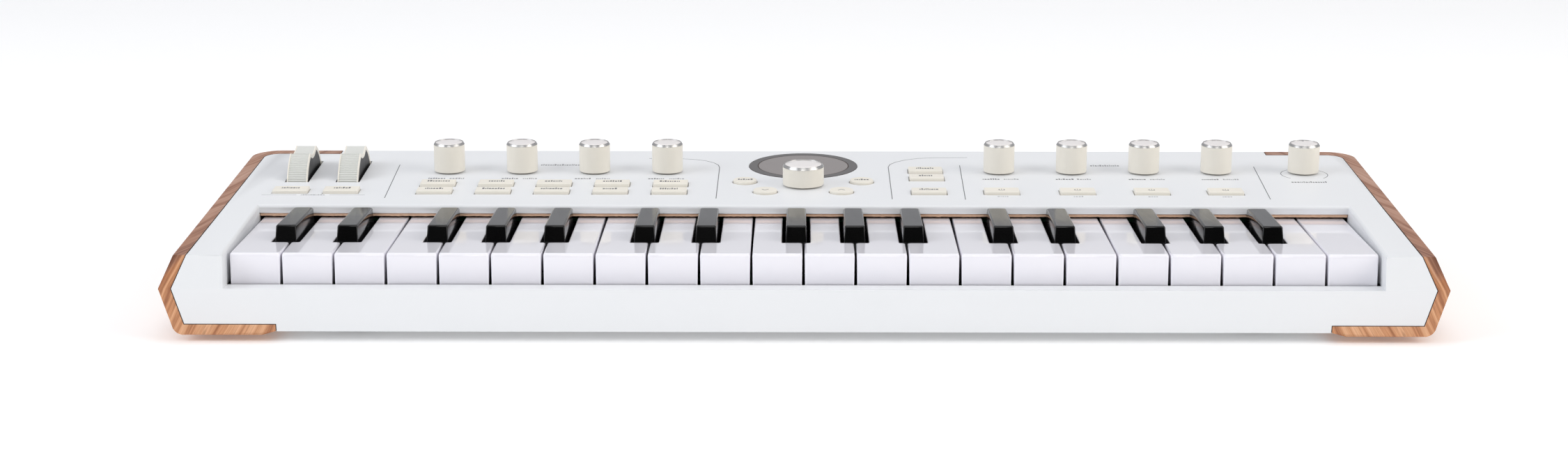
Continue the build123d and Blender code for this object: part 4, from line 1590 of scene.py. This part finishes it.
# ---------------------------------------------------------------- studio
@dataclass
class Studio:
    """White paper floor, pale surroundings, four soft boxes and the camera."""

    floor_half: float = 7.0    # metres
    lens: float = 65.93
    spot: tuple[float, float, float] = (-0.00184, -1.28309, 0.28476)
    down: float = 11.2928      # degrees
    left: float = -0.3096
    roll: float = 0.0301
    sky_level: float = 0.55    # light from all round
    sky_dim: float = 0.04      # darker side behind the camera, which the black keys' fronts mirror

    def floor(self) -> None:
        """Lays the paper floor."""
        mesh = bmesh.new()
        half = self.floor_half
        corners = [mesh.verts.new((x, y, 0)) for x, y in
                   ((-half, -half), (half, -half), (half, half), (-half, half))]
        mesh.faces.new(corners)
        data = bpy.data.meshes.new("studio_floor")
        mesh.to_mesh(data)
        mesh.free()
        data.materials.append(PAPER_FLOOR.material())
        floor = bpy.data.objects.new("studio_floor", data)
        bpy.context.scene.collection.objects.link(floor)

    def surroundings(self) -> None:
        """Sets the pale light from all round."""
        world = bpy.data.worlds.new("studio_world")
        bpy.context.scene.world = world
        world.use_nodes = True
        tree = world.node_tree
        tree.nodes.clear()
        sight = add_node(tree, "TexCoord").outputs["Generated"]
        way = add_node(tree, "SeparateXYZ", {"Vector": sight})
        frontness = add_node(tree, "MapRange", {
            "Value": way.outputs["Y"], "From Min": -0.55, "From Max": -0.9},
            interpolation_type="SMOOTHSTEP")
        lowness = add_node(tree, "MapRange", {
            "Value": way.outputs["Z"], "From Min": 0.75, "From Max": 0.4},
            interpolation_type="SMOOTHSTEP")
        shade = add_node(tree, "Math", {
            0: frontness.outputs["Result"], 1: lowness.outputs["Result"]}, operation="MULTIPLY")
        level = add_node(tree, "MapRange", {
            "Value": shade.outputs["Value"], "To Min": self.sky_level, "To Max": self.sky_dim})
        sky = add_node(tree, "Background", {
            "Color": (0.95, 0.96, 1.0, 1.0), "Strength": level.outputs["Result"]})
        add_node(tree, "OutputWorld", {"Surface": sky.outputs["Background"]})

    def soft_box(self, name: str, spot: tuple[float, float, float], size: float, power: float,
                 tint: tuple[float, float, float]) -> None:
        """Hangs a square soft light that faces the object.

        Args:
            name: its name.
            spot: its place, metres.
            size: its side, metres.
            power: its power, watts.
            tint: its colour.
        """
        data = bpy.data.lights.new(name, "AREA")
        data.shape = "SQUARE"
        data.size = size
        data.energy = power
        data.color = tint
        lamp = bpy.data.objects.new(name, data)
        bpy.context.scene.collection.objects.link(lamp)
        lamp.location = spot
        lamp.rotation_euler = (Vector((0, 0, 0.03)) - Vector(spot)).to_track_quat("-Z", "Y").to_euler()

    def camera(self) -> None:
        """Sets the camera."""
        data = bpy.data.cameras.new("studio_camera")
        data.sensor_width = 36.0
        data.lens = self.lens
        data.clip_start = 0.02
        camera = bpy.data.objects.new("studio_camera", data)
        bpy.context.scene.collection.objects.link(camera)
        down, turn = math.radians(self.down), math.radians(self.left)
        forward = Vector((math.sin(turn) * math.cos(down), math.cos(turn) * math.cos(down),
                          -math.sin(down)))
        right = forward.cross(Vector((0, 0, 1))).normalized()
        above = right.cross(forward)
        lean = math.radians(self.roll)
        right, above = (right * math.cos(lean) + above * math.sin(lean),
                        above * math.cos(lean) - right * math.sin(lean))
        turned_to = Matrix((right, above, -forward)).transposed().to_4x4()
        camera.matrix_world = Matrix.Translation(Vector(self.spot)) @ turned_to
        bpy.context.scene.camera = camera

    def build(self) -> None:
        """Sets up the floor, the lights and the camera."""
        self.floor()
        self.surroundings()
        self.soft_box("soft_box_left", (-2.1, -0.9, 1.3), 1.7, 23.0, (0.93, 0.96, 1.0))
        self.soft_box("soft_box_right", (2.1, -0.9, 1.3), 1.7, 23.0, (1.0, 0.96, 0.9))
        self.soft_box("soft_box_above", (0.0, 0.5, 2.2), 2.0, 11.0, (1.0, 1.0, 1.0))
        self.soft_box("soft_box_front", (0.0, -2.0, 1.55), 0.9, 8.0, (1.0, 0.99, 0.97))
        self.camera()
        bpy.context.scene.view_settings.view_transform = "Standard"


# ---------------------------------------------------------------- everything in order
def main() -> None:
    """Builds the pieces round the frame, then the studio."""
    logging.basicConfig(level=logging.WARNING)
    Shell("top_case", "white_case", WHITE_CASE).build()
    Shell("bottom_case", "white_case", WHITE_CASE).build()
    WoodenEnds("wood_end_caps", "wood", WOOD).build()
    PanelPrint().build()
    KeySet().build()
    ThumbWheel("pitch_wheel", "pitch_wheel_turn").build()
    ThumbWheel("mod_wheel", "mod_wheel_turn").build()
    Knob("volume_knob", "volume_turn", pointer=True).build()
    Knob("encoder_knob", "encoder_turn", radius=9.5, height=9.6, edge=0.8, bevel=1.3).build()
    for number in range(1, 5):
        Knob(f"instrument_knob_{number}", f"instrument_{number}_turn").build()
        Knob(f"effect_knob_{number}", f"effect_{number}_turn").build()
    PushButtons().build()
    Display().build()
    FeltStrip().build()
    RearSockets().build()
    dress_inside()
    Studio().build()


if __name__ == "__main__":
    main()
